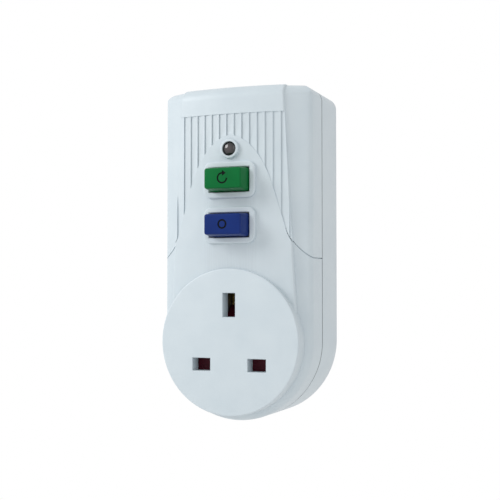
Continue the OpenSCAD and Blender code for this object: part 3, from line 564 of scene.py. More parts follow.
class Groups:
    """Shader effects that several finishes share, each built once."""

    made: ClassVar[dict[str, Tree]] = {}
    drift_band: ClassVar[Point] = (0.35, 0.7)
    patch_band: ClassVar[Point] = (0.3, 0.7)
    edge_band: ClassVar[Point] = (0.52, 0.62)
    hollow_shade_band: ClassVar[Point] = (0.48, 0.4)
    row_band: ClassVar[Point] = (0.5, 0.0)
    row_wobble: ClassVar[float] = 0.6
    line_stretch: ClassVar[Point] = (1.0, 0.04, 1.0)
    kinds: ClassVar[dict[str, str]] = {
        "Vector": "Vector", "Colour": "Color", "Deep": "Color", "Worn": "Color", "Dust": "Color"}

    @classmethod
    def start(cls, name: str, inputs: str, outputs: str) -> Tree:
        """Open a group with its sockets.

        Args:
            name: the group's name.
            inputs: the names of its inputs.
            outputs: the names of its outputs.

        Returns:
            The group's tree, with its two end nodes.
        """
        tree = bpy.data.node_groups.new(name, "ShaderNodeTree")
        for side, sockets in (("INPUT", inputs), ("OUTPUT", outputs)):
            for socket in sockets.split():
                kind = "NodeSocket" + cls.kinds.get(socket, "Float")
                tree.interface.new_socket(socket, in_out=side, socket_type=kind)
        tree.nodes.new("NodeGroupInput").name = "in"
        tree.nodes.new("NodeGroupOutput").name = "out"
        return tree

    @staticmethod
    def given(tree: Tree, socket: str) -> Socket:
        """Find what a group is given."""
        return tree.nodes["in"].outputs[socket]

    @staticmethod
    def close(tree: Tree, **results: Socket) -> Tree:
        """Link a group's results to its outputs and give the group back.

        Args:
            tree: the group.
            results: the sockets, by the names of the outputs.

        Returns:
            The same group.
        """
        for socket, result in results.items():
            tree.links.new(result, tree.nodes["out"].inputs[socket])
        return tree

    @classmethod
    def pattern(cls, tree: Tree, kind: str) -> Node:
        """Put a pattern on the group's Vector and Scale.

        Args:
            tree: the group.
            kind: the pattern's kind.

        Returns:
            The pattern's node.
        """
        node = tree.nodes.new("ShaderNodeTex" + kind)
        for socket in ("Vector", "Scale"):
            tree.links.new(cls.given(tree, socket), node.inputs[socket])
        return node

    @classmethod
    def noise(cls, tree: Tree, detail: float) -> Node:
        """Put a noise on the group's Vector and Scale.

        Args:
            tree: the group.
            detail: how fine the noise is.

        Returns:
            The noise's node.
        """
        node = cls.pattern(tree, "Noise")
        node.inputs["Detail"].default_value = detail
        return node

    @classmethod
    def swing(cls, tree: Tree, value: Socket) -> Socket:
        """Let the group's Rough swing with a value, as far as its Spread.

        Args:
            tree: the group.
            value: the value, from 0 to 1.

        Returns:
            The roughness' socket.
        """
        part = cls.maths(tree, "SUBTRACT", value, 0.5)
        part = cls.maths(tree, "MULTIPLY", part, cls.given(tree, "Spread"))
        return cls.maths(tree, "ADD", part, cls.given(tree, "Rough"))

    @staticmethod
    def maths(tree: Tree, how: str, a: object, b: object) -> Socket:
        """Put a sum on two sockets or numbers.

        Args:
            tree: the tree that it goes into.
            how: the operation.
            a: a socket or a number.
            b: a socket or a number.

        Returns:
            The result's socket.
        """
        node = tree.nodes.new("ShaderNodeMath")
        node.operation = how
        for slot, value in zip(node.inputs, (a, b)):
            feed(tree, slot, value)
        return node.outputs[0]

    @staticmethod
    def blend(tree: Tree, share: object, a: object, b: object) -> Socket:
        """Mix two colours.

        Args:
            tree: the tree that it goes into.
            share: the second colour's share, a socket or a number.
            a: the first colour.
            b: the second colour.

        Returns:
            The mixed colour's socket.
        """
        node = tree.nodes.new("ShaderNodeMix")
        node.data_type = "RGBA"
        for slot, value in ((0, share), (6, a), (7, b)):
            feed(tree, node.inputs[slot], value)
        return node.outputs[2]

    @staticmethod
    def ramp(tree: Tree, value: Socket, low: float, high: float) -> Socket:
        """Stretch a value's band to 0 to 1, clamped.

        Args:
            tree: the tree that it goes into.
            value: the value.
            low: what becomes 0.
            high: what becomes 1.

        Returns:
            The stretched value's socket.
        """
        node = tree.nodes.new("ShaderNodeMapRange")
        node.inputs["From Min"].default_value = low
        node.inputs["From Max"].default_value = high
        tree.links.new(value, node.inputs["Value"])
        return node.outputs["Result"]

    @classmethod
    def tone_drift(cls) -> Tree:
        """Build a colour that drifts a little over the surface.

        Returns:
            The group.
        """
        tree = cls.start("tone_drift", "Vector Scale Colour Deep Amount", "Colour")
        share = cls.ramp(tree, cls.noise(tree, 3).outputs[0], *cls.drift_band)
        share = cls.maths(tree, "MULTIPLY", share, cls.given(tree, "Amount"))
        mixed = cls.blend(tree, share, cls.given(tree, "Colour"), cls.given(tree, "Deep"))
        return cls.close(tree, Colour=mixed)

    @classmethod
    def moulded_grain(cls) -> Tree:
        """Build the fine texture of a mould, as a height and a roughness.

        Returns:
            The group.
        """
        tree = cls.start("moulded_grain", "Vector Scale Rough Spread", "Height Rough")
        fine = cls.noise(tree, 4).outputs[0]
        spots = cls.pattern(tree, "Voronoi")
        height = cls.maths(tree, "ADD", fine, spots.outputs["Distance"])
        return cls.close(tree, Height=height, Rough=cls.swing(tree, fine))

    @classmethod
    def edge_wear_and_hollow_shade(cls) -> Tree:
        """Build edges rubbed to another colour, and painted shade that darkens the hollows and creases.

        Returns:
            The group.
        """
        tree = cls.start("edge_wear_and_hollow_shade", "Vector Scale Colour Worn Dust Wear Dirt", "Colour")
        bend = tree.nodes.new("ShaderNodeNewGeometry").outputs["Pointiness"]
        patches = cls.ramp(tree, cls.noise(tree, 5).outputs[0], *cls.patch_band)
        edge = cls.maths(tree, "MULTIPLY", cls.ramp(tree, bend, *cls.edge_band), patches)
        edge = cls.maths(tree, "MULTIPLY", edge, cls.given(tree, "Wear"))
        # Painted shade: low pointiness marks hollows and creases, which are darkened
        hollow_shade_mask = cls.maths(tree, "MULTIPLY", cls.ramp(tree, bend, *cls.hollow_shade_band), cls.given(tree, "Dirt"))
        worn = cls.blend(tree, edge, cls.given(tree, "Colour"), cls.given(tree, "Worn"))
        return cls.close(tree, Colour=cls.blend(tree, hollow_shade_mask, worn, cls.given(tree, "Dust")))

    @classmethod
    def drawn_lines(cls) -> Tree:
        """Build the fine lines that rolling or drawing leaves along metal.

        Returns:
            The group.
        """
        tree = cls.start("drawn_lines", "Vector Scale Rough Spread", "Height Rough")
        stretch = tree.nodes.new("ShaderNodeMapping")
        stretch.inputs["Scale"].default_value = cls.line_stretch
        tree.links.new(cls.given(tree, "Vector"), stretch.inputs["Vector"])
        lines = cls.noise(tree, 6)
        tree.links.new(stretch.outputs["Vector"], lines.inputs["Vector"])
        return cls.close(tree, Height=lines.outputs[0], Rough=cls.swing(tree, lines.outputs[0]))

    @classmethod
    def wire_turns(cls) -> Tree:
        """Build rows of thin wire, as a height and a shade.

        Returns:
            The group.
        """
        tree = cls.start("wire_turns", "Vector Scale", "Height Shade")
        rows = cls.pattern(tree, "Wave")
        rows.inputs["Distortion"].default_value = cls.row_wobble
        height = rows.outputs["Fac"]
        return cls.close(tree, Height=height, Shade=cls.ramp(tree, height, *cls.row_band))

    @classmethod
    def get(cls, name: str) -> Tree:
        """Give a shared effect by name, building it the first time.

        Args:
            name: the effect's name.

        Returns:
            The group.
        """
        if name not in cls.made:
            cls.made[name] = getattr(cls, name)()
        return cls.made[name]


@dataclass(frozen=True)
class Finish:
    """A surface with a drifting colour and a fine texture."""

    slot: str
    colour: tuple[int, int, int]
    deep: tuple[int, int, int]
    rough: float = 0.4
    spread: float = 0.1
    grain: float = 2600.0
    relief: float = 0.05
    metallic: float = 0.0
    gloss: float = 0.5
    wear: float = 0.1
    # How strongly hollows and creases are darkened with painted shade
    dirt: float = 0.15
    texture: str = "moulded_grain"
    drift_scale: ClassVar[float] = 90.0
    drift: ClassVar[float] = 0.7
    wear_scale: ClassVar[float] = 700.0
    rubbed: ClassVar[int] = 26
    # How far the painted shade in hollows darkens the deep colour
    hollow_shade_dim: ClassVar[float] = 0.72
    bump: ClassVar[float] = 0.2

    def place(self, tree: Tree, group: str, **values: object) -> Node:
        """Put a shared effect into a material.

        Args:
            tree: the material's tree.
            group: the effect's name.
            values: what its inputs are set to or linked to.

        Returns:
            The effect's node.
        """
        node = tree.nodes.new("ShaderNodeGroup")
        node.node_tree = Groups.get(group)
        for socket, value in values.items():
            feed(tree, node.inputs[socket], value)
        return node

    def tint(self, tree: Tree, where: Socket) -> Socket:
        """Build the colour.

        Args:
            tree: the material's tree.
            where: the object's own coordinates.

        Returns:
            The colour's socket.
        """
        drift = self.place(tree, "tone_drift", Vector=where, Scale=self.drift_scale, Amount=self.drift,
                           Colour=linear(self.colour), Deep=linear(self.deep))
        pale = linear([min(255, c + self.rubbed) for c in self.colour])
        # Painted shade for hollows and creases: the deep colour, darkened
        hollow_shade_colour = linear([c * self.hollow_shade_dim for c in self.deep])
        worn = self.place(tree, "edge_wear_and_hollow_shade", Vector=where, Scale=self.wear_scale, Wear=self.wear,
                          Dirt=self.dirt, Colour=drift.outputs["Colour"], Worn=pale, Dust=hollow_shade_colour)
        return worn.outputs["Colour"]

    def relief_height(self, tree: Tree, where: Socket) -> tuple[Socket, Socket]:
        """Build the texture.

        Args:
            tree: the material's tree.
            where: the object's own coordinates.

        Returns:
            The height's and the roughness' sockets.
        """
        texture = self.place(tree, self.texture, Vector=where, Scale=self.grain, Rough=self.rough,
                             Spread=self.spread)
        return texture.outputs["Height"], texture.outputs["Rough"]

    def polish(self, shader: Node) -> None:
        """Set the numbers that are the same all over."""
        shader.inputs["Metallic"].default_value = self.metallic
        shader.inputs["Specular IOR Level"].default_value = self.gloss

    def make(self) -> bpy.types.Material:
        """Build the material.

        Returns:
            The material, named for its slot.
        """
        material = bpy.data.materials.new(self.slot + "_finish")
        material.use_nodes = True
        tree = material.node_tree
        shader = tree.nodes["Principled BSDF"]
        where = tree.nodes.new("ShaderNodeTexCoord").outputs["Object"]
        height, rough = self.relief_height(tree, where)
        bump = tree.nodes.new("ShaderNodeBump")
        bump.inputs["Strength"].default_value = self.relief
        bump.inputs["Distance"].default_value = self.bump * MM
        tree.links.new(height, bump.inputs["Height"])
        tree.links.new(bump.outputs["Normal"], shader.inputs["Normal"])
        tree.links.new(rough, shader.inputs["Roughness"])
        tree.links.new(self.tint(tree, where), shader.inputs["Base Color"])
        self.polish(shader)
        return material


@dataclass(frozen=True)
class SeamShadeAndSignInkFinish(Finish):
    """A surface with another colour inside a box: on the shell, painted shade in the groove between the
    covers; on a button, the dark ink of its sunk sign.
    """

    middle: tuple[float, float, float] = (0.0, 0.0, 0.0)
    half: tuple[float, float, float] = (2.7, 0.22, 2.7)
    # The box's colour: painted shade for the shell's groove, dark ink for a button's sign
    inside: tuple[float, float, float] = (14, 18, 20)

    def tint(self, tree: Tree, where: Socket) -> Socket:
        """Build the colour, with the box's own.

        Args:
            tree: the material's tree.
            where: the object's own coordinates.

        Returns:
            The colour's socket.
        """
        axes = tree.nodes.new("ShaderNodeSeparateXYZ")
        tree.links.new(where, axes.inputs[0])
        mask: object = 1.0
        for axis, middle, half in zip(axes.outputs, self.middle, self.half):
            away = Groups.maths(tree, "SUBTRACT", axis, middle * MM)
            near = Groups.maths(tree, "LESS_THAN", Groups.maths(tree, "ABSOLUTE", away, 0.0), half * MM)
            mask = Groups.maths(tree, "MULTIPLY", near, mask)
        return Groups.blend(tree, mask, super().tint(tree, where), linear(self.inside))


@dataclass(frozen=True)
class LensFinish(Finish):
    """Smoked clear plastic over a lamp, paler in its middle."""

    middle_z: float = LENS_Z
    fade: tuple[float, float] = (0.7, 2.0)
    rim: tuple[int, int, int] = (9, 7, 8)
    coat: ClassVar[dict[str, float]] = {"Coat Weight": 0.5, "Coat Roughness": 0.04}

    def tint(self, tree: Tree, where: Socket) -> Socket:
        """Build a colour that darkens from the middle to the rim.

        Args:
            tree: the material's tree.
            where: the object's own coordinates.

        Returns:
            The colour's socket.
        """
        plain = super().tint(tree, where)
        place = tree.nodes.new("ShaderNodeMapping")
        place.inputs["Location"].default_value = (0.0, 0.0, -self.middle_z * MM)
        place.inputs["Scale"].default_value = (1.0, 0.0, 1.0)
        tree.links.new(where, place.inputs["Vector"])
        length = tree.nodes.new("ShaderNodeVectorMath")
        length.operation = "LENGTH"
        tree.links.new(place.outputs["Vector"], length.inputs[0])
        outwards = Groups.ramp(tree, length.outputs["Value"], *(r * MM for r in self.fade))
        return Groups.blend(tree, outwards, plain, linear(self.rim))

    def polish(self, shader: Node) -> None:
        """Give the lens a clear coat.

        Args:
            shader: the material's shader.
        """
        super().polish(shader)
        for socket, value in self.coat.items():
            shader.inputs[socket].default_value = value


@dataclass(frozen=True)
class WoundFinish(Finish):
    """Enamelled wire in close rows."""

    turns: float = 900.0

    def tint(self, tree: Tree, where: Socket) -> Socket:
        """Build a colour with painted shade that darkens it between the rows."""
        rows = self.place(tree, "wire_turns", Vector=where, Scale=self.turns)
        return Groups.blend(tree, rows.outputs["Shade"], super().tint(tree, where), linear(self.deep))

    def relief_height(self, tree: Tree, where: Socket) -> tuple[Socket, Socket]:
        """Build the rows' height over the plain roughness."""
        rows = self.place(tree, "wire_turns", Vector=where, Scale=self.turns)
        return rows.outputs["Height"], super().relief_height(tree, where)[1]


@dataclass(frozen=True)
class MetalFinish(Finish):
    """Rolled or drawn metal."""

    grain: float = 900.0
    metallic: float = 1.0
    wear: float = 0.4
    texture: str = "drawn_lines"


FINISHES: tuple[Finish, ...] = (
    # The shell's box paints shade into the groove between the covers
    SeamShadeAndSignInkFinish("shell", (206, 217, 223), (199, 211, 218), rough=0.42, spread=0.12, wear=0.15, dirt=0.22,
                middle=(0.0, -20.25, 0.0), half=(500.0, 0.32, 500.0), inside=(131.34, 139.26, 143.88)),
    SeamShadeAndSignInkFinish("green_plastic", (12, 108, 54), (9, 98, 48), rough=0.32, gloss=0.1,
                middle=(0.0, -47.22, RESET_Z)),
    SeamShadeAndSignInkFinish("blue_plastic", (26, 50, 116), (21, 43, 104), rough=0.32, gloss=0.1,
                middle=(0.0, -47.22, TEST_Z)),
    Finish("maroon_plastic", (78, 14, 30), (62, 10, 23), rough=0.4, gloss=0.12),
    LensFinish("smoked_lens", (66, 57, 60), (50, 43, 46), rough=0.12, spread=0.04, relief=0.01, wear=0.0,
               dirt=0.0),
    Finish("black_sleeve", (30, 30, 31), (20, 20, 21), rough=0.45, wear=0.5),
    Finish("dark_plastic", (66, 66, 69), (54, 54, 57), rough=0.5),
    Finish("cream_plastic", (222, 214, 192), (210, 201, 176), rough=0.45),
    MetalFinish("pin_brass", (208, 178, 104), (186, 152, 82), rough=0.26, spread=0.16, wear=0.6),
    MetalFinish("contact_copper", (202, 132, 88), (176, 108, 70), rough=0.3, spread=0.2),
    MetalFinish("steel", (176, 178, 182), (150, 152, 157), rough=0.32, spread=0.2, grain=1200.0, wear=0.5),
    MetalFinish("spring_steel", (162, 164, 168), (136, 138, 143), rough=0.28, spread=0.15, grain=1800.0),
    Finish("board_laminate", (34, 92, 52), (26, 76, 42), rough=0.3, grain=1400.0, relief=0.08),
    WoundFinish("winding_copper", (168, 92, 50), (92, 44, 22), rough=0.35, relief=0.6, metallic=0.6),
    Finish("ferrite", (62, 66, 69), (50, 54, 57), rough=0.7, spread=0.2, relief=0.25),
    Finish("lead_insulation", (150, 38, 34), (128, 30, 28), rough=0.5),
    Finish("lamp_resin", (226, 138, 66), (206, 114, 46), rough=0.15, relief=0.01),
    Finish("chip_black", (30, 30, 31), (22, 22, 23), rough=0.55, relief=0.12),
    Finish("disc_blue", (48, 80, 148), (38, 66, 128), rough=0.25),
    Finish("can_navy", (34, 40, 88), (26, 31, 72), rough=0.3),
    Finish("bead_tan", (192, 162, 118), (172, 140, 96), rough=0.35),
)


class Wardrobe:
    """The finishes, made once and given to pieces by the record's slots."""

    def __init__(self) -> None:
        """Make every finish."""
        self.materials = {finish.slot: finish.make() for finish in FINISHES}
        self.replaced: set[str] = set()

    def dress(self, piece: Piece, slot: str, body: str, *nodes: str) -> None:
        """Give a new piece its finish, body and nodes.

        Args:
            piece: the piece.
            slot: the material slot.
            body: the body that it moves with.
            nodes: the nodes that it stands for.
        """
        piece.data.materials.clear()
        piece.data.materials.append(self.materials[slot])
        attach(piece, body)
        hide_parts(*nodes)
        self.replaced.update(nodes)
        log.info("piece %s: %d faces, body %s", piece.name, len(piece.data.polygons), body)

    def dress_nodes(self) -> None:
        """Give every node that is carried over the finish of its slot."""
        for part in frame["record"]["subparts"]:
            if part["node"] in self.replaced:
                continue
            node = frame["nodes"][part["node"]]
            for slot in node.material_slots:
                slot.material = self.materials[part["material_slot"]]
            log.info("node %s: %s", part["node"], part["material_slot"])


# The object


@dataclass
class BodyForm:
    """The outer form that both covers share."""

    half_w: float = 29.99
    top: float = 96.1
    corner_r: float = 3.5
    flank_half: float = 20.7
    flank_turn: float = 26.0
    top_r: float = 4.7
    rear_r: float = 1.2
    base_r: float = 122.2
    bow_y: float = 83.1
    part_y: float = -20.5
    corner_steps: int = 8
    bow_steps: int = 40
    edge_steps: int = 10
    lower_steps: int = 72
    front_steps: int = 180
    rear_steps: int = 4
    foot: float = -40.0
    room_y: float = -70.0
    room_depth: float = 90.0
    far: float = 150.0
    run: float = 120.0
    side_gap: float = 0.4 * LAP
    front_gap: float = 6 * LAP
    front_rise: float = 0.1 * LAP
    flank_rise: float = 0.2 * LAP

    @property
    def edge_turns(self) -> list[float]:
        """The angles, in degrees, of the corners of a round upper edge."""
        return [90 * i / self.edge_steps for i in range(self.edge_steps + 1)]

    @property
    def corner(self) -> Vector:
        """Centre of the right corner between flank and side, seen from above.

        Returns:
            The centre, at height 0.
        """
        t = math.radians(self.flank_turn)
        x = self.half_w - self.corner_r
        y = self.bow_y - math.sqrt(self.base_r ** 2 - self.flank_half ** 2)
        reach = self.flank_half * math.sin(t) - y * math.cos(t)
        return Vector((x, (x * math.sin(t) + self.corner_r - reach) / math.cos(t), 0))

    @property
    def bow_angle(self) -> float:
        """Half the angle of the bowed front, in degrees."""
        return math.degrees(math.asin(self.flank_half / self.base_r))

    @staticmethod
    def facing(turn: float) -> Vector:
        """Give the level direction turned from the front to the right, in degrees."""
        return Vector((math.sin(math.radians(turn)), -math.cos(math.radians(turn)), 0))

    def flank(self, inset: float) -> tuple[Vector, Vector]:
        """Give the two ends of the right flank, seen from above.

        Args:
            inset: how far the form is moved inwards.

        Returns:
            The end at the corner and the end at the bowed front.
        """
        outer = self.corner + self.facing(self.flank_turn) * (self.corner_r - inset)
        along = self.facing(self.flank_turn - 90)
        start = outer - Vector((0, self.bow_y, 0))
        down = start.dot(along)
        run = math.sqrt(down ** 2 - start.length_squared + (self.base_r - inset) ** 2) - down
        return outer, outer + along * run

    def rounded(self, inset: float, gap: float, turns: Sequence[float]) -> list[tuple[float, float]]:
        """Give the round upper edge's section, a gap off the wall, as reach and height from the foot up."""
        return [(gap, self.foot), *quarter(gap, self.top - inset, self.top_r - inset + gap, turns)]

    def rooms(self, inset: float) -> list[Piece]:
        """Build the solids that the upper edge is rounded with: sides, bowed front and flanks.

        Args:
            inset: how far the form is moved inwards.

        Returns:
            The solids; the form is what lies inside all of them.
        """
        half, bow = self.half_w - inset, self.bow_y - self.base_r + inset
        between = [0.0] + [90 * (i + 0.5) / self.edge_steps for i in range(self.edge_steps)] + [90.0]
        even = self.edge_turns
        edge = [(half + u, self.room_y, z) for u, z in self.rounded(inset, self.side_gap, even)]
        sides = prism("sides", edge + [(-x, y, z) for x, y, z in reversed(edge)], (0, self.room_depth, 0))
        rim = [(0, bow - u, z + self.front_rise) for u, z in self.rounded(inset, self.front_gap, even)]
        with sketching("front", [(0, self.bow_y, self.foot), *rim, (0, self.bow_y, rim[-1][2])]) as front:
            lathe((0, self.bow_y, 0), UP, self.front_steps)
        out, along = self.facing(self.flank_turn), self.facing(self.flank_turn - 90)
        wall = self.flank(inset)[0]
        section = [(u, z + self.flank_rise) for u, z in self.rounded(inset, LAP, between)]
        section += [(-self.far, section[-1][1]), (-self.far, self.foot)]
        corners = [wall + out * u + Vector(UP) * z - along * self.run for u, z in section]
        right = prism("flank", corners, along * 2 * self.run)
        mirrored = [(-c.x, c.y, c.z) for c in corners]
        left = prism("flank", mirrored, (-2 * self.run * along.x, 2 * self.run * along.y, 0))
        return [sides, front, right, left]

    def build(self, name: str, inset: float = 0.0) -> Piece:
        """Build the closed form: an upright upper half on a turned lower half.

        Args:
            name: the piece's name.
            inset: how far the form is moved inwards; only the outer form has a round rear edge.

        Returns:
            The new object.
        """
        half = self.half_w - inset
        right = self.corner
        left = Vector((-right.x, right.y, 0))
        outer, inner = self.flank(inset)
        bow = math.degrees(math.asin(inner.x / (self.base_r - inset)))
        side = [(0, 0, 0), (half, 0, 0), (half, right.y, 0)]
        with sketching(name, side) as piece:
            arc(right, UP, self.flank_turn - 90, self.corner_steps)
            draw([inner])
            arc((0, self.bow_y, 0), UP, -2 * bow, self.bow_steps)
            draw([(-outer.x, outer.y, 0)])
            arc(left, UP, self.flank_turn - 90, self.corner_steps)
            draw([(-half, 0, 0)])
            pick(Pick.VERTS, lambda p: abs(p.y) < NEAR and p.x < NEAR)
            bpy.ops.mesh.edge_face_add()
            pick_all()
            extrude((0, 0, self.top + PAST))
            bpy.ops.mesh.edge_face_add()
            drop_point(side[0])
            draw(side[1:])
            arc(right, UP, self.flank_turn - 90, self.corner_steps)
            draw([inner, (0, inner.y, 0)])
            bpy.ops.mesh.select_linked()
            arc((0, 0, 0), BACKWARDS, 180, self.lower_steps)
            weld()
            bpy.ops.mesh.select_mode(type="EDGE")
            pick_none()
            bpy.ops.mesh.select_non_manifold(extend=False, use_wire=False, use_boundary=True,
                                             use_multi_face=False, use_non_contiguous=False, use_verts=False)
            bpy.ops.mesh.edge_face_add()
            weld()
            bpy.ops.mesh.dissolve_limited(angle_limit=math.radians(FLAT))
        carve(piece, Carve.KEEP, *self.rooms(inset))
        with editing(piece):
            if not inset:
                round_level(0.0, self.rear_r, self.rear_steps)
            weld()
        return piece


@dataclass(frozen=True)
class PinPattern:
    """Where the slots, the holes and the pins are: two line places and the earth's above them."""

    line_x: float = 11.1
    line_z: float = -8.47
    earth_z: float = 13.76

    def places(self, line: Point, earth: Point) -> list[tuple[float, float, float, float]]:
        """Give each place's middle, half width and half height, for openings of two sizes."""
        places = [(side * self.line_x, self.line_z, line[0] / 2, line[1] / 2) for side in (-1, 1)]
        return places + [(0.0, self.earth_z, earth[0] / 2, earth[1] / 2)]


PATTERN = PinPattern()


@dataclass
class FrontCover:
    """The front cover: shell, ribbed panel, socket boss, button collars and lens ring."""

    form: BodyForm
    wall: float = 2.4
    face_y: float = -41.0
    crown_y: float = -39.9
    base_y: float = -39.1
    panel_r: float = 123.0
    panel_top: float = 96.4
    panel_edge: float = 0.6
    panel_root: float = 1.9
    panel_low_half: float = 25.8
    panel_top_half: float = 20.5
    panel_beyond: float = 4.0
    panel_back: float = 4.0
    panel_steps: int = 64
    edge_stops: tuple = (8.0, 28.0, 48.0, 68.0)
    edge_shares: tuple = (22.5, 45.0, 67.5)
    rib_pitch: float = 3.03
    rib_count: int = 16
    rib_depth: float = 0.5
    rib_crest: float = 0.05
    rib_low: float = 31.4
    rib_top: float = 85.6
    line_w: float = 0.45
    line_d: float = 0.4
    line_lap: float = 0.12
    arch_head: tuple = ((0, 77.7), (6.89, 76.4), (12.46, 70.5), (16.4, 58.6))
    arch_flare: tuple = ((21.4, 42.2), (22.6, 38.2), (25.2, 34.6), (30, 31.4))
    head_steps: int = 12
    flare_steps: int = 10
    line_steps: int = 14
    arch_y: float = -60.0
    arch_depth: float = 50.0
    arch_half: float = 40.0
    arch_foot: float = -5.0
    boss_r: float = 27.5
    boss_edge: float = 0.6
    boss_back: float = -33.8
    boss_steps: int = 144
    seat_sides: int = 128
    seat_r: float = 25.2
    seat_y: float = -38.0
    seat_room: float = 0.8
    seat_back: float = -29.0
    ahead_y: float = -50.0
    throat_y: float = -35.7
    throat_wall: float = 1.5
    throat_lap: float = 0.7
    slot: tuple = (7.2, 4.8)
    earth_slot: tuple = (5.0, 8.9)
    slot_flare: float = 0.2
    collar: tuple = (20.7, 13.7)
    collar_r: float = 3.0
    collar_edge: float = 0.6
    aperture: tuple = (16.2, 9.3)
    aperture_flare: float = 0.3
    sleeve_wall: float = 1.6
    sleeve_lap: float = 0.5
    sleeve_end: float = -35.6
    button_z: tuple = (RESET_Z, TEST_Z)
    ring_r: float = 3.7
    ring_edge: float = 0.4
    lens_hole_r: float = 2.75
    lens_hole_end: float = -34.0
    lens_z: float = LENS_Z

    def seat_cut(self) -> Piece:
        """Build the cutter of the room that the socket needs behind its face."""
        return start_drum("seat_cut", self.seat_r + self.seat_room, self.ahead_y, self.seat_back,
                          sides=self.seat_sides)

    def shell(self) -> Piece:
        """Build the bowed shell with an opening for the socket.

        Returns:
            The shell.
        """
        piece = self.form.build("front_cover_shell")
        with editing(piece):
            slice_off((0, self.form.part_y, 0), BACKWARDS)
            weld()
        carve(piece, Carve.CUT, self.form.build("inside", inset=self.wall), self.seat_cut())
        return piece

    @property
    def outer_r(self) -> float:
        """Radius of the panel's round upper edge."""
        return self.form.top_r + self.panel_top - self.form.top

    def panel_profile(self, sweep: float) -> list[Point]:
        """Give the panel's upright section at one end of its sweep.

        Args:
            sweep: the section's turn to the right, in degrees.

        Returns:
            The section's corners in order.
        """
        form, turns = self.form, self.form.edge_turns
        back = form.bow_y - form.part_y - self.panel_back
        inner = form.base_r - self.panel_root
        low_top = form.top - self.panel_root
        section = [(self.panel_r, 0.0), *quarter(self.panel_r, self.panel_top, self.outer_r, turns)]
        section += [(back, self.panel_top), (back, low_top)]
        section += [*quarter(inner, low_top, form.top_r, turns[::-1]), (inner, 0.0)]
        side = math.radians(sweep)
        return [(s * math.sin(side), form.bow_y - s * math.cos(side), z) for s, z in section]

    def panel(self) -> Piece:
        """Build the raised panel, with tapered sides and stepped ribs beside the arch.

        Returns:
            The panel.
        """
        sweep = self.form.bow_angle + self.panel_beyond
        slope = (self.panel_low_half - self.panel_top_half) / self.form.top
        with sketching("panel", self.panel_profile(sweep)) as piece:
            pick(Pick.VERTS, lambda p: abs(p.z) < NEAR)
            bpy.ops.mesh.edge_face_add()
            pick_all()
            arc((0, self.form.bow_y, 0), UP, -2 * sweep, self.panel_steps)
            weld()
            for side in (-1, 1):
                slice_off((side * self.panel_low_half, 0, 0), (side, 0, slope))
            weld()
            for side in (-1, 1):
                self.round_side(side, slope)
            slice_off((0, self.form.part_y - LAP, 0), BACKWARDS)
            weld()
        carve(piece, Carve.CUT, self.rib_cutter())
        carve(piece, Carve.CUT, self.seat_cut())
        return piece

    def round_side(self, side: int, slope: float) -> None:
        """Round the outer corner of one side of the panel with a run of small cuts.

        Args:
            side: 1 for the right side, -1 for the left.
            slope: how much the side leans in for each millimetre of height.
        """
        wall = Vector((side, 0, slope)).normalized()
        r = self.outer_r
        turns = [math.radians(turn) for turn in self.form.edge_turns]
        stops = [(z, 0.0) for z in self.edge_stops]
        stops += [(self.panel_top - r + r * math.sin(turn), turn) for turn in turns]
        for z, turn in stops:
            reach = self.panel_r - r + r * math.cos(turn)
            x = side * (self.panel_low_half - slope * z)
            lean = math.asin(x / reach)
            corner = Vector((x, self.form.bow_y - reach * math.cos(lean), z))
            out = Vector((math.sin(lean) * math.cos(turn), -math.cos(lean) * math.cos(turn), math.sin(turn)))
            for share in self.edge_shares:
                a = math.radians(share)
                facing = (wall * math.cos(a) + out * math.sin(a)).normalized()
                slice_off(corner - facing * self.panel_edge * (math.cos(a) + math.sin(a) - 1), facing)

    def arch_side(self) -> list[tuple[float, float]]:
        """Give the arch's right side, from its top to the side of the body."""
        return curve(self.arch_head, self.head_steps) + curve(self.arch_flare, self.flare_steps)

    def rib_cutter(self) -> Piece:
        """Build the row of wedges that leaves the ribs, kept out of the arch.

        Returns:
            The cutter.
        """
        first = -(self.rib_count - 1) / 2 * self.rib_pitch
        at = [first + i * self.rib_pitch for i in range(self.rib_count + 1)]

        def front(x: float, depth: float) -> Point:
            """Give a point below the panel's front."""
            return (x, self.form.bow_y - math.sqrt(self.panel_r ** 2 - x * x) + depth, self.rib_low)

        outline = [(x, self.crown_y - PAST, self.rib_low) for x in (at[0], at[-1])]
        for i in range(self.rib_count, 0, -1):
            outline += [front(at[i], self.rib_crest), front(at[i - 1], self.rib_depth)]
        cutter = prism("rib_cutter", outline, (0, 0, self.rib_top - self.rib_low))
        right = self.arch_side() + [(self.arch_half, self.rib_low), (self.arch_half, self.arch_foot)]
        arch = right + [(-x, z) for x, z in reversed(right[1:])]
        room = prism("arch", [(x, self.arch_y, z) for x, z in arch], (0, self.arch_depth, 0))
        carve(cutter, Carve.CUT, room)
        return cutter

    def side_lines(self) -> list[Piece]:
        """Build the cutters of the fine line from the arch's feet round both sides.

        Returns:
            The right and the left cutter.
        """
        flare = curve(self.arch_flare, self.line_steps)
        above = [(x, z + self.line_lap) for x, z in flare + [(self.form.half_w + 2 * PAST, self.rib_low)]]
        below = [(x, z - self.line_w) for x, z in reversed(above)]
        cutters = []
        for side in (1, -1):
            outline = [(side * x, self.ahead_y, z) for x, z in above + below]
            cutter = prism("side_line", outline, (0, self.form.part_y - self.ahead_y + PAST, 0))
            carve(cutter, Carve.CUT, self.form.build("line_floor", inset=self.line_d))
            cutters.append(cutter)
        return cutters

    def boss(self) -> Piece:
        """Build the round socket boss with its rim.

        Returns:
            The boss.
        """
        e = self.boss_edge
        with sketching("boss", [(0, self.face_y, 0), (self.boss_r - e, self.face_y, 0)]) as piece:
            arc((self.boss_r - e, self.face_y + e, 0), UP, 90, 5)
            draw([(self.boss_r, self.boss_back, 0), (self.seat_r, self.boss_back, 0),
                  (self.seat_r, self.seat_y, 0), (0, self.seat_y, 0)])
            lathe((0, 0, 0), BACKWARDS, self.boss_steps)
        return piece

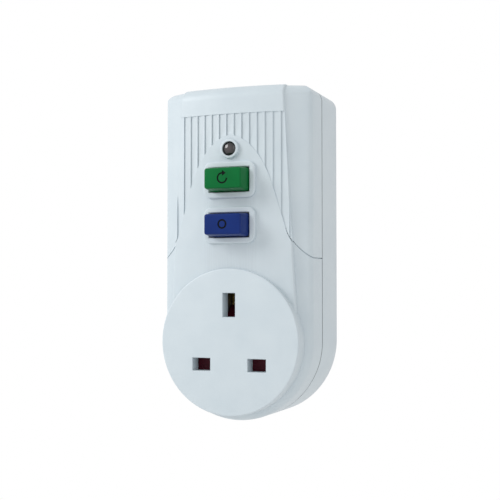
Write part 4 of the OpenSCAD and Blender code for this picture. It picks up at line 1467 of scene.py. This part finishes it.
    def collars(self) -> list[Piece]:
        """Build the raised collar and the inner sleeve of each button.

        Returns:
            The pieces.
        """
        half_x, half_z = self.collar[0] / 2, self.collar[1] / 2
        in_x, in_z = (size / 2 + self.sleeve_wall for size in self.aperture)
        pieces = []
        for z in self.button_z:
            collar = start_block("collar", *around(0, z, half_x, half_z, self.face_y, self.base_y + PAST))
            with editing(collar):
                round_runs(self.collar_r, 8)
                round_level(self.face_y, self.collar_edge, 4)
            sleeve = start_block("sleeve", *around(0, z, in_x, in_z, self.base_y + self.sleeve_lap,
                                                   self.sleeve_end))
            with editing(sleeve):
                round_runs(self.sleeve_wall, 4)
            pieces += [collar, sleeve]
        return pieces

    def ring(self) -> Piece:
        """Build the ring that holds the lens.

        Returns:
            The ring.
        """
        piece = start_drum("lens_ring", self.ring_r, self.face_y, self.base_y + PAST, z=self.lens_z)
        with editing(piece):
            round_level(self.face_y, self.ring_edge, 4)
        return piece

    def build(self) -> Piece:
        """Build the whole cover.

        Returns:
            The finished piece.
        """
        cover = self.shell()
        carve(cover, Carve.ADD, self.panel())
        carve(cover, Carve.CUT, *self.side_lines())
        carve(cover, Carve.ADD, self.boss(), *self.collars(), self.ring())
        g, before = self.throat_wall, self.face_y - PAST
        slots = PATTERN.places(self.slot, self.earth_slot)
        for x, z, w, h in slots:
            carve(cover, Carve.ADD, start_block(
                "throat", *around(x, z, w + g, h + g, self.seat_y - self.throat_lap, self.throat_y)))
        for x, z, w, h in slots:
            carve(cover, Carve.CUT, mouth(
                "slot", *around(x, z, w, h, before, self.throat_y + PAST), self.face_y, self.slot_flare))
        w, h = self.aperture[0] / 2, self.aperture[1] / 2
        for z in self.button_z:
            carve(cover, Carve.CUT, mouth("aperture", *around(0, z, w, h, before, self.sleeve_end + PAST),
                                          self.face_y, self.aperture_flare))
        hole = start_drum("lens_hole", self.lens_hole_r, before, self.lens_hole_end, z=self.lens_z)
        carve(cover, Carve.CUT, hole)
        return smooth(cover)


@dataclass
class RearCover:
    """The rear cover: hollow box with pin holes and screw towers."""

    form: BodyForm
    seam_w: float = 0.5
    seam_d: float = 0.4
    wall: float = 2.4
    rear_wall: float = 2.6
    tower_r: float = 3.4
    towers: tuple = ((23.4, 89.5), (-23.4, 89.5), (21.82, -12.6), (-21.82, -12.6))
    screw_seat: float = -11.0
    bore_r: float = 3.0
    screw_hole_r: float = 1.75
    screw_hole_end: float = -24.0
    screw_hole_sides: int = 32
    tower_root: float = 0.6
    line_hole: tuple = (6.55, 4.17)
    earth_hole: tuple = (4.17, 8.15)
    hole_flare: float = 0.25
    room: tuple = (40.0, 10.0, 110.0)

    def hollow_box(self) -> Piece:
        """Build the box with its shadow groove, and its inside pushed back from the rim.

        Returns:
            The box.
        """
        groove_y = self.form.part_y + self.seam_w
        piece = self.form.build("rear_cover_shell")
        corner = (-self.room[0], groove_y, self.form.foot)
        carve(piece, Carve.KEEP, start_block("rear_room", corner, self.room))
        with editing(piece):
            pick(Pick.FACES, level(groove_y))
            bpy.ops.mesh.inset(thickness=self.seam_d * MM, use_even_offset=True)
            extrude((0, -self.seam_w, 0))
            bpy.ops.mesh.inset(thickness=(self.wall - self.seam_d) * MM, use_even_offset=True)
            extrude((0, -self.form.part_y - self.rear_wall, 0))
            resize((0, -self.rear_wall, 0), (1, 0, 1))
            weld()
        return piece

    def build(self) -> Piece:
        """Build the whole cover.

        Returns:
            The finished piece.
        """
        cover = self.hollow_box()
        ends = self.form.part_y + LAP, self.tower_root - self.rear_wall
        posts = joined("towers", [start_drum("tower", self.tower_r, *ends, x, z) for x, z in self.towers])
        carve(posts, Carve.KEEP, self.form.build("tower_room", inset=self.wall / 2))
        carve(cover, Carve.ADD, posts)
        for x, z in self.towers:
            bore = start_drum("bore", self.bore_r, self.screw_seat, PAST, x, z)
            hole = start_drum("screw_hole", self.screw_hole_r, self.screw_hole_end, self.screw_seat + PAST,
                              x, z, sides=self.screw_hole_sides)
            carve(cover, Carve.CUT, bore, hole)
        for x, z, w, h in PATTERN.places(self.line_hole, self.earth_hole):
            hole = mouth("pin_hole", *around(x, z, w, h, -self.rear_wall - PAST, PAST), 0, self.hole_flare)
            carve(cover, Carve.CUT, hole)
        return smooth(cover)


@dataclass
class PushButton:
    """A drafted button with its flange, stem and sunk sign."""

    name: str
    z: float
    mark: Mark
    width: float = 15.6
    height: float = 8.7
    face_y: float = -41.0
    out: float = 6.5
    draft: float = 0.55
    edge: float = 0.6
    corner_r: float = 0.9
    flange_y: float = -35.3
    stem_y: float = -34.1
    lip: float = 1.4
    stem_r: float = 2.5
    stem_end: float = -23.6
    mark_depth: float = 0.25
    arrow_r: tuple = (2.1, 1.5)
    arrow_gap: float = 3.0
    arrow_head: tuple = (1.5, 1.05)
    ring_r: tuple = (1.8, 1.15)
    mark_sides: int = 48

    def build(self) -> Piece:
        """Build the button.

        Returns:
            The finished piece.
        """
        w, h = self.width / 2, self.height / 2
        front = self.face_y - self.out
        flange = around(0, self.z, w + self.lip, h + self.lip, self.flange_y, self.stem_y)
        piece = start_block(self.name, *flange)
        with editing(piece):
            pick(Pick.FACES, level(self.flange_y))
            bpy.ops.mesh.inset(thickness=self.lip * MM)
            extrude((0, self.face_y - self.flange_y, 0))
            extrude((0, -self.out, 0))
            resize((0, front, self.z), (1 - self.draft / w, 1, 1 - self.draft / h))
            pick_runs(lambda p: p.y < self.flange_y + NEAR and abs(p.x) < w + NEAR)
            bevel(self.corner_r, 4)
            round_level(front, self.edge, 5)
            weld()
        inside = (self.flange_y + self.stem_y) / 2
        carve(piece, Carve.ADD, start_drum("stem", self.stem_r, inside, self.stem_end, z=self.z))
        carve(piece, Carve.CUT, *self.sign(front))
        return smooth(piece)

    def sign(self, front: float) -> list[Piece]:
        """Build the cutters of the sunk sign.

        Args:
            front: the button's face.

        Returns:
            The cutters.
        """
        outer, inner = self.arrow_r if self.mark is Mark.RETURN_ARROW else self.ring_r
        floor, z, gap = front + self.mark_depth, self.z, self.arrow_gap
        sides, before, behind = self.mark_sides, front - 2 * PAST, floor + PAST
        ring = start_drum("sign", outer, front - PAST, floor, z=z, sides=sides)
        carve(ring, Carve.CUT, start_drum("sign_middle", inner, before, behind, z=z, sides=sides))
        if self.mark is Mark.RING:
            return [ring]
        carve(ring, Carve.CUT, start_block("sign_gap", (0, before, z), (gap, behind, z + gap)))
        middle, (reach, half) = z + (outer + inner) / 2, self.arrow_head
        corners = [(0, middle - half), (reach, middle), (0, middle + half)]
        head = prism("sign_head", [(u, front - PAST, v) for u, v in corners], (0, floor - front + PAST, 0))
        return [ring, head]


@dataclass
class IndicatorLens:
    """The domed lens."""

    z: float = LENS_Z
    radius: float = 2.65
    dome_r: float = 3.975
    front_y: float = -41.3
    lip_y: float = -36.5
    lip_r: float = 3.7
    back_y: float = -35.7
    dome_steps: int = 10
    steps: int = 64

    def build(self) -> Piece:
        """Build the lens.

        Returns:
            The finished piece.
        """
        turn = math.degrees(math.asin(self.radius / self.dome_r))
        with sketching("lens_dome", [(0, self.front_y, self.z)]) as piece:
            arc((0, self.front_y + self.dome_r, self.z), UP, turn, self.dome_steps)
            draw([(self.radius, self.lip_y, self.z), (self.lip_r, self.lip_y, self.z),
                  (self.lip_r, self.back_y, self.z), (0, self.back_y, self.z)])
            lathe((0, 0, self.z), BACKWARDS, self.steps)
        return smooth(piece)


@dataclass
class PlugPins:
    """The three flat pins and the sleeves on the line pins."""

    line_size: tuple = (6.35, 3.97)
    earth_size: tuple = (3.97, 7.95)
    line_l: float = 17.7
    earth_l: float = 22.73
    sleeve_l: float = 9.5
    sleeve_t: float = 0.5
    ease: float = 1.4
    ease_in: float = 0.8
    edge: float = 0.35
    tip_edge: float = 0.25
    ease_edge: float = 0.3
    rear_wall: float = 2.6
    flange_t: float = 2.8
    flange_w: float = 1.3

    def blade(self, name: str, size: Point, x: float, z: float, y0: float, y1: float) -> Piece:
        """Build the straight part of a pin with its eased tip.

        Args:
            name: the piece's name.
            size: the pin's width and height.
            x: its place across.
            z: its height.
            y0: where it starts.
            y1: the end of its tip.

        Returns:
            The blade.
        """
        w, h = size[0] / 2, size[1] / 2
        piece = start_block(name, *around(x, z, w, h, y0, y1 - self.ease))
        with editing(piece):
            round_runs(self.edge, 3)
            pick(Pick.FACES, lambda p: p.y > y1 - self.ease - NEAR)
            extrude((0, self.ease, 0))
            resize((x, y1, z), (1 - self.ease_in / w, 1, 1 - self.ease_in / h))
            pick(Pick.EDGES, lambda p: p.y > y1 - NEAR)
            bevel(self.tip_edge, 3)
            round_level(y1 - self.ease, self.ease_edge, 2)
        return piece

    def root(self, size: Point, x: float, z: float, from_y: float) -> None:
        """Extrude the selected end into the wall and widen it to the flange inside.

        Args:
            size: the end's width and height.
            x: its place across.
            z: its height.
            from_y: where it is.
        """
        extrude((0, -self.rear_wall - from_y, 0))
        extrude((0, 0, 0))
        w, h = size[0] / 2, size[1] / 2
        grow = self.flange_w
        resize((x, -self.rear_wall, z), (1 + grow / w, 1, 1 + grow / h))
        extrude((0, -self.flange_t, 0))

    def line_pin(self) -> Piece:
        """Build the live pin, whose neck goes through the sleeve.

        Returns:
            The pin.
        """
        x, z = PATTERN.line_x, PATTERN.line_z
        piece = self.blade("live_pin_blade", self.line_size, x, z, self.sleeve_l, self.line_l)
        with editing(piece):
            pick(Pick.FACES, level(self.sleeve_l))
            bpy.ops.mesh.inset(thickness=self.sleeve_t * MM)
            self.root([s - 2 * self.sleeve_t for s in self.line_size], x, z, self.sleeve_l)
            weld()
        return smooth(piece)

    def sleeve(self) -> Piece:
        """Build the sleeve on the live pin.

        Returns:
            The sleeve.
        """
        w, h = self.line_size[0] / 2, self.line_size[1] / 2
        x, z, t = PATTERN.line_x, PATTERN.line_z, self.sleeve_t
        piece = start_block("live_sleeve", *around(x, z, w, h, 0, self.sleeve_l))
        with editing(piece):
            round_runs(self.edge, 3)
        carve(piece, Carve.CUT, start_block("neck", *around(x, z, w - t, h - t, -PAST, self.sleeve_l + PAST)))
        return smooth(piece)

    def earth_pin(self) -> Piece:
        """Build the earth pin.

        Returns:
            The pin.
        """
        piece = self.blade("earth_pin_blade", self.earth_size, 0, PATTERN.earth_z, 0, self.earth_l)
        with editing(piece):
            pick(Pick.FACES, level(0.0))
            self.root(self.earth_size, 0, PATTERN.earth_z, 0)
            weld()
        return smooth(piece)

    def dress(self, wardrobe: Wardrobe) -> None:
        """Build all pins and sleeves and give them their finishes.

        Args:
            wardrobe: the finishes.
        """
        shift = (-2 * PATTERN.line_x, 0, 0)
        live, sleeve = self.line_pin(), self.sleeve()
        neutral = copy_of(live, "neutral_pin_blade", shift)
        neutral_sleeve = copy_of(sleeve, "neutral_sleeve", shift)
        wardrobe.dress(live, "pin_brass", "housing", "live_pin")
        wardrobe.dress(neutral, "pin_brass", "housing", "neutral_pin")
        wardrobe.dress(self.earth_pin(), "pin_brass", "housing", "earth_pin")
        wardrobe.dress(sleeve, "black_sleeve", "housing", "live_pin_sleeve")
        wardrobe.dress(neutral_sleeve, "black_sleeve", "housing", "neutral_pin_sleeve")


@dataclass
class CoverScrews:
    """The four screws that hold the covers together."""

    places: tuple
    seat_y: float = -11.0
    length: float = 20.0
    shank_r: float = 1.45
    shank_lap: float = 0.5
    head_r: float = 2.7
    head_t: float = 2.0
    head_edge: float = 0.7
    cross: tuple = (1.6, 0.4)
    cross_depth: float = 1.1
    head_sides: int = 48
    shank_sides: int = 32

    def build(self) -> Piece:
        """Build one screw and copy it to the other places.

        Returns:
            The screws as one piece.
        """
        x, z = self.places[0]
        end = self.seat_y + self.head_t
        screw = start_drum("screw", self.head_r, self.seat_y, end, x, z, sides=self.head_sides)
        with editing(screw):
            round_level(end, self.head_edge, 4)
        carve(screw, Carve.ADD, start_drum("shank", self.shank_r, self.seat_y - self.length,
                                           self.seat_y + self.shank_lap, x, z, sides=self.shank_sides))
        for w, h in (self.cross, self.cross[::-1]):
            cross = around(x, z, w, h, end - self.cross_depth, end + PAST)
            carve(screw, Carve.CUT, start_block("cross", *cross))
        smooth(screw)
        copies = [copy_of(screw, "screw", (px - x, 0, pz - z)) for px, pz in self.places[1:]]
        return joined("cover_screw_set", [screw, *copies])


@dataclass(frozen=True)
class CoilSpring:
    """A coil spring, which shortens towards its seat when it is pressed; here it is wound at rest."""

    node: str
    joint: str
    axis: tuple[int, int, int]
    turns: int
    wire: float
    travel: float
    steps: int = 20
    sides: int = 10

    def build(self, seat: Vector, length: float, ring: float) -> Piece:
        """Wind the wire up from its seat.

        Args:
            seat: the middle of the end that stays.
            length: the spring's length at rest.
            ring: the radius of the wire's middle line.

        Returns:
            The spring.
        """
        clear_selection()
        bpy.ops.mesh.primitive_circle_add(
            vertices=self.sides, radius=self.wire / 2 * MM,
            location=metres((ring, 0, self.wire / 2)), rotation=(math.pi / 2, 0, 0))
        piece = settle(self.node + "_wire")
        wind = piece.modifiers.new("wind", "SCREW")
        wind.iterations = self.turns
        wind.screw_offset = (length - self.wire) / self.turns * MM
        wind.steps = wind.render_steps = self.steps
        bpy.ops.object.modifier_apply(modifier=wind.name)
        with editing(piece):
            pick_all()
            bpy.ops.mesh.fill_holes(sides=0)
            weld()
        piece.rotation_euler = Vector(self.axis).to_track_quat("Z", "Y").to_euler()
        piece.location = metres(seat)
        bpy.ops.object.transform_apply(location=True, rotation=True, scale=True)
        return smooth(piece)

    def dress(self, wardrobe: Wardrobe) -> None:
        """Put the spring where its node is.

        Args:
            wardrobe: the finishes.
        """
        low, high = (Vector(corner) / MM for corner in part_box(self.node))
        size, along = high - low, Vector(self.axis)
        length = abs(size.dot(along))
        seat = (low + high - along * length) / 2
        ring = (min(side for side, part in zip(size, along) if not part) - self.wire) / 2
        piece = self.build(seat, length, ring)
        wardrobe.dress(piece, "spring_steel", "housing", self.node)
        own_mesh(piece)


@dataclass(frozen=True)
class TestLeaf:
    """The bent leaf that the test button presses."""

    node: str = "test_contact"
    joint: str = "test_press"
    thick: float = 0.4
    give: float = 2.8

    def dress(self, wardrobe: Wardrobe) -> None:
        """Bend the leaf in its node's place.

        Args:
            wardrobe: the finishes.
        """
        low, high = (Vector(corner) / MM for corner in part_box(self.node))
        x, y = low.x + self.thick, low.y + self.thick
        outline = [(low.x, low.y), (high.x, low.y), (high.x, y), (x, y), (x, high.y), (low.x, high.y)]
        piece = prism(self.node + "_leaf", [(*at, low.z) for at in outline], (0, 0, high.z - low.z))
        wardrobe.dress(piece, "contact_copper", "housing", self.node)
        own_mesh(piece)


SPRINGS: tuple[CoilSpring, ...] = (
    CoilSpring("reset_spring", "reset_press", (0, -1, 0), 5, 0.6, 4.0),
    CoilSpring("test_spring", "test_press", (0, -1, 0), 5, 0.6, 3.0),
    CoilSpring("carriage_spring", "carriage_slide", (0, -1, 0), 5, 0.5, 4.0),
    CoilSpring("shutter_spring", "shutter_slide", (0, 0, 1), 6, 0.5, 5.2),
    CoilSpring("plunger_spring", "trip_slide", (-1, 0, 0), 3, 0.5, 2.0),
)


@dataclass
class Studio:
    """Floor, light and camera."""

    camera_at: tuple = (0.14432, -0.38927, 0.01984)
    azimuth: float = 21.30
    pitch: float = 2.19
    lens: float = 72.88
    sensor: float = 36.0
    floor_z: float = -0.25
    floor_size: float = 6.0
    floor_grey: tuple = (0.9, 0.9, 0.9, 1)
    floor_rough: float = 0.9
    soft: float = 0.63
    aim: tuple = (0, -0.02, 0.035)
    lamps: tuple = (("key", (-0.75, -0.6, 0.55), 0.6, 5.8), ("fill", (0.7, -0.6, 0.3), 0.8, 1.0))

    def camera(self) -> None:
        """Place the camera where the photograph was taken from."""
        data = bpy.data.cameras.new("camera")
        data.lens = self.lens
        data.sensor_width = self.sensor
        camera = bpy.data.objects.new("camera", data)
        bpy.context.scene.collection.objects.link(camera)
        a, p = math.radians(self.azimuth), math.radians(self.pitch)
        ahead = Vector((-math.sin(a) * math.cos(p), math.cos(a) * math.cos(p), math.sin(p)))
        camera.location = self.camera_at
        camera.rotation_euler = ahead.to_track_quat("-Z", "Y").to_euler()
        bpy.context.scene.camera = camera

    @staticmethod
    def seen(tree: Tree) -> Socket:
        """Give a mask of the rays by which a background is seen, straight, mirrored or through glass.

        Args:
            tree: the tree that it goes into.

        Returns:
            The mask's socket.
        """
        path = tree.nodes.new("ShaderNodeLightPath")
        mask = Groups.maths(tree, "MAXIMUM", path.outputs["Is Camera Ray"], path.outputs["Is Glossy Ray"])
        return Groups.maths(tree, "MAXIMUM", mask, path.outputs["Is Transmission Ray"])

    def veil(self, tree: Tree, plain: Node, white: Node, end: str) -> None:
        """Show white to the rays by which a background is seen, and a plain shader to the others.

        Args:
            tree: the tree of the world or the material.
            plain: the shader that lights the object.
            white: the shader that is seen.
            end: the name of the tree's last node.
        """
        mix = tree.nodes.new("ShaderNodeMixShader")
        for slot, value in zip(mix.inputs, (self.seen(tree), plain.outputs[0], white.outputs[0])):
            tree.links.new(value, slot)
        tree.links.new(mix.outputs[0], tree.nodes[end].inputs[0])

    def floor(self) -> None:
        """Lay a pale floor far below, white where it is seen."""
        clear_selection()
        bpy.ops.mesh.primitive_plane_add(size=self.floor_size, location=(0, 0, self.floor_z))
        floor = settle("floor")
        material = bpy.data.materials.new("floor_paint")
        material.use_nodes = True
        tree = material.node_tree
        shader = tree.nodes["Principled BSDF"]
        shader.inputs["Base Color"].default_value = self.floor_grey
        shader.inputs["Roughness"].default_value = self.floor_rough
        self.veil(tree, shader, tree.nodes.new("ShaderNodeEmission"), "Material Output")
        floor.data.materials.append(material)

    def world(self) -> None:
        """Fill the surroundings with soft light, white where they are seen."""
        world = bpy.data.worlds.new("studio")
        bpy.context.scene.world = world
        world.use_nodes = True
        tree = world.node_tree
        soft, white = tree.nodes["Background"], tree.nodes.new("ShaderNodeBackground")
        for light in (soft, white):
            light.inputs["Color"].default_value = (1, 1, 1, 1)
        soft.inputs["Strength"].default_value = self.soft
        self.veil(tree, soft, white, "World Output")

    def lamp(self, name: str, at: Point, size: float, power: float) -> None:
        """Hang a soft lamp that faces the object.

        Args:
            name: the lamp's name.
            at: its place, in metres.
            size: its width, in metres.
            power: its power, in watts.
        """
        data = bpy.data.lights.new(name, "AREA")
        data.shape = "DISK"
        data.size = size
        data.energy = power
        lamp = bpy.data.objects.new(name, data)
        bpy.context.scene.collection.objects.link(lamp)
        lamp.location = at
        lamp.rotation_euler = (Vector(self.aim) - Vector(at)).to_track_quat("-Z", "Y").to_euler()

    def build(self) -> None:
        """Set up the studio."""
        bpy.context.scene.view_settings.view_transform = "Standard"
        self.camera()
        self.floor()
        self.world()
        for lamp in self.lamps:
            self.lamp(*lamp)


def main() -> None:
    """Build the studio, the pieces and their finishes, and note the sizes."""
    logging.basicConfig(level=logging.INFO, format="%(name)s: %(message)s")
    Studio().build()
    wardrobe = Wardrobe()
    form = BodyForm()
    rear = RearCover(form)
    wardrobe.dress(FrontCover(form).build(), "shell", "housing", "front_cover")
    wardrobe.dress(rear.build(), "shell", "housing", "rear_cover")
    reset = PushButton("reset_key", RESET_Z, Mark.RETURN_ARROW)
    test = PushButton("test_key", TEST_Z, Mark.RING)
    wardrobe.dress(reset.build(), "green_plastic", "reset", "reset_button")
    wardrobe.dress(test.build(), "blue_plastic", "test", "test_button")
    wardrobe.dress(IndicatorLens().build(), "smoked_lens", "housing", "indicator_lens")
    PlugPins().dress(wardrobe)
    wardrobe.dress(CoverScrews(rear.towers).build(), "steel", "housing", "cover_screws")
    for spring in SPRINGS:
        spring.dress(wardrobe)
    TestLeaf().dress(wardrobe)
    wardrobe.dress_nodes()


if __name__ == "__main__":
    main()
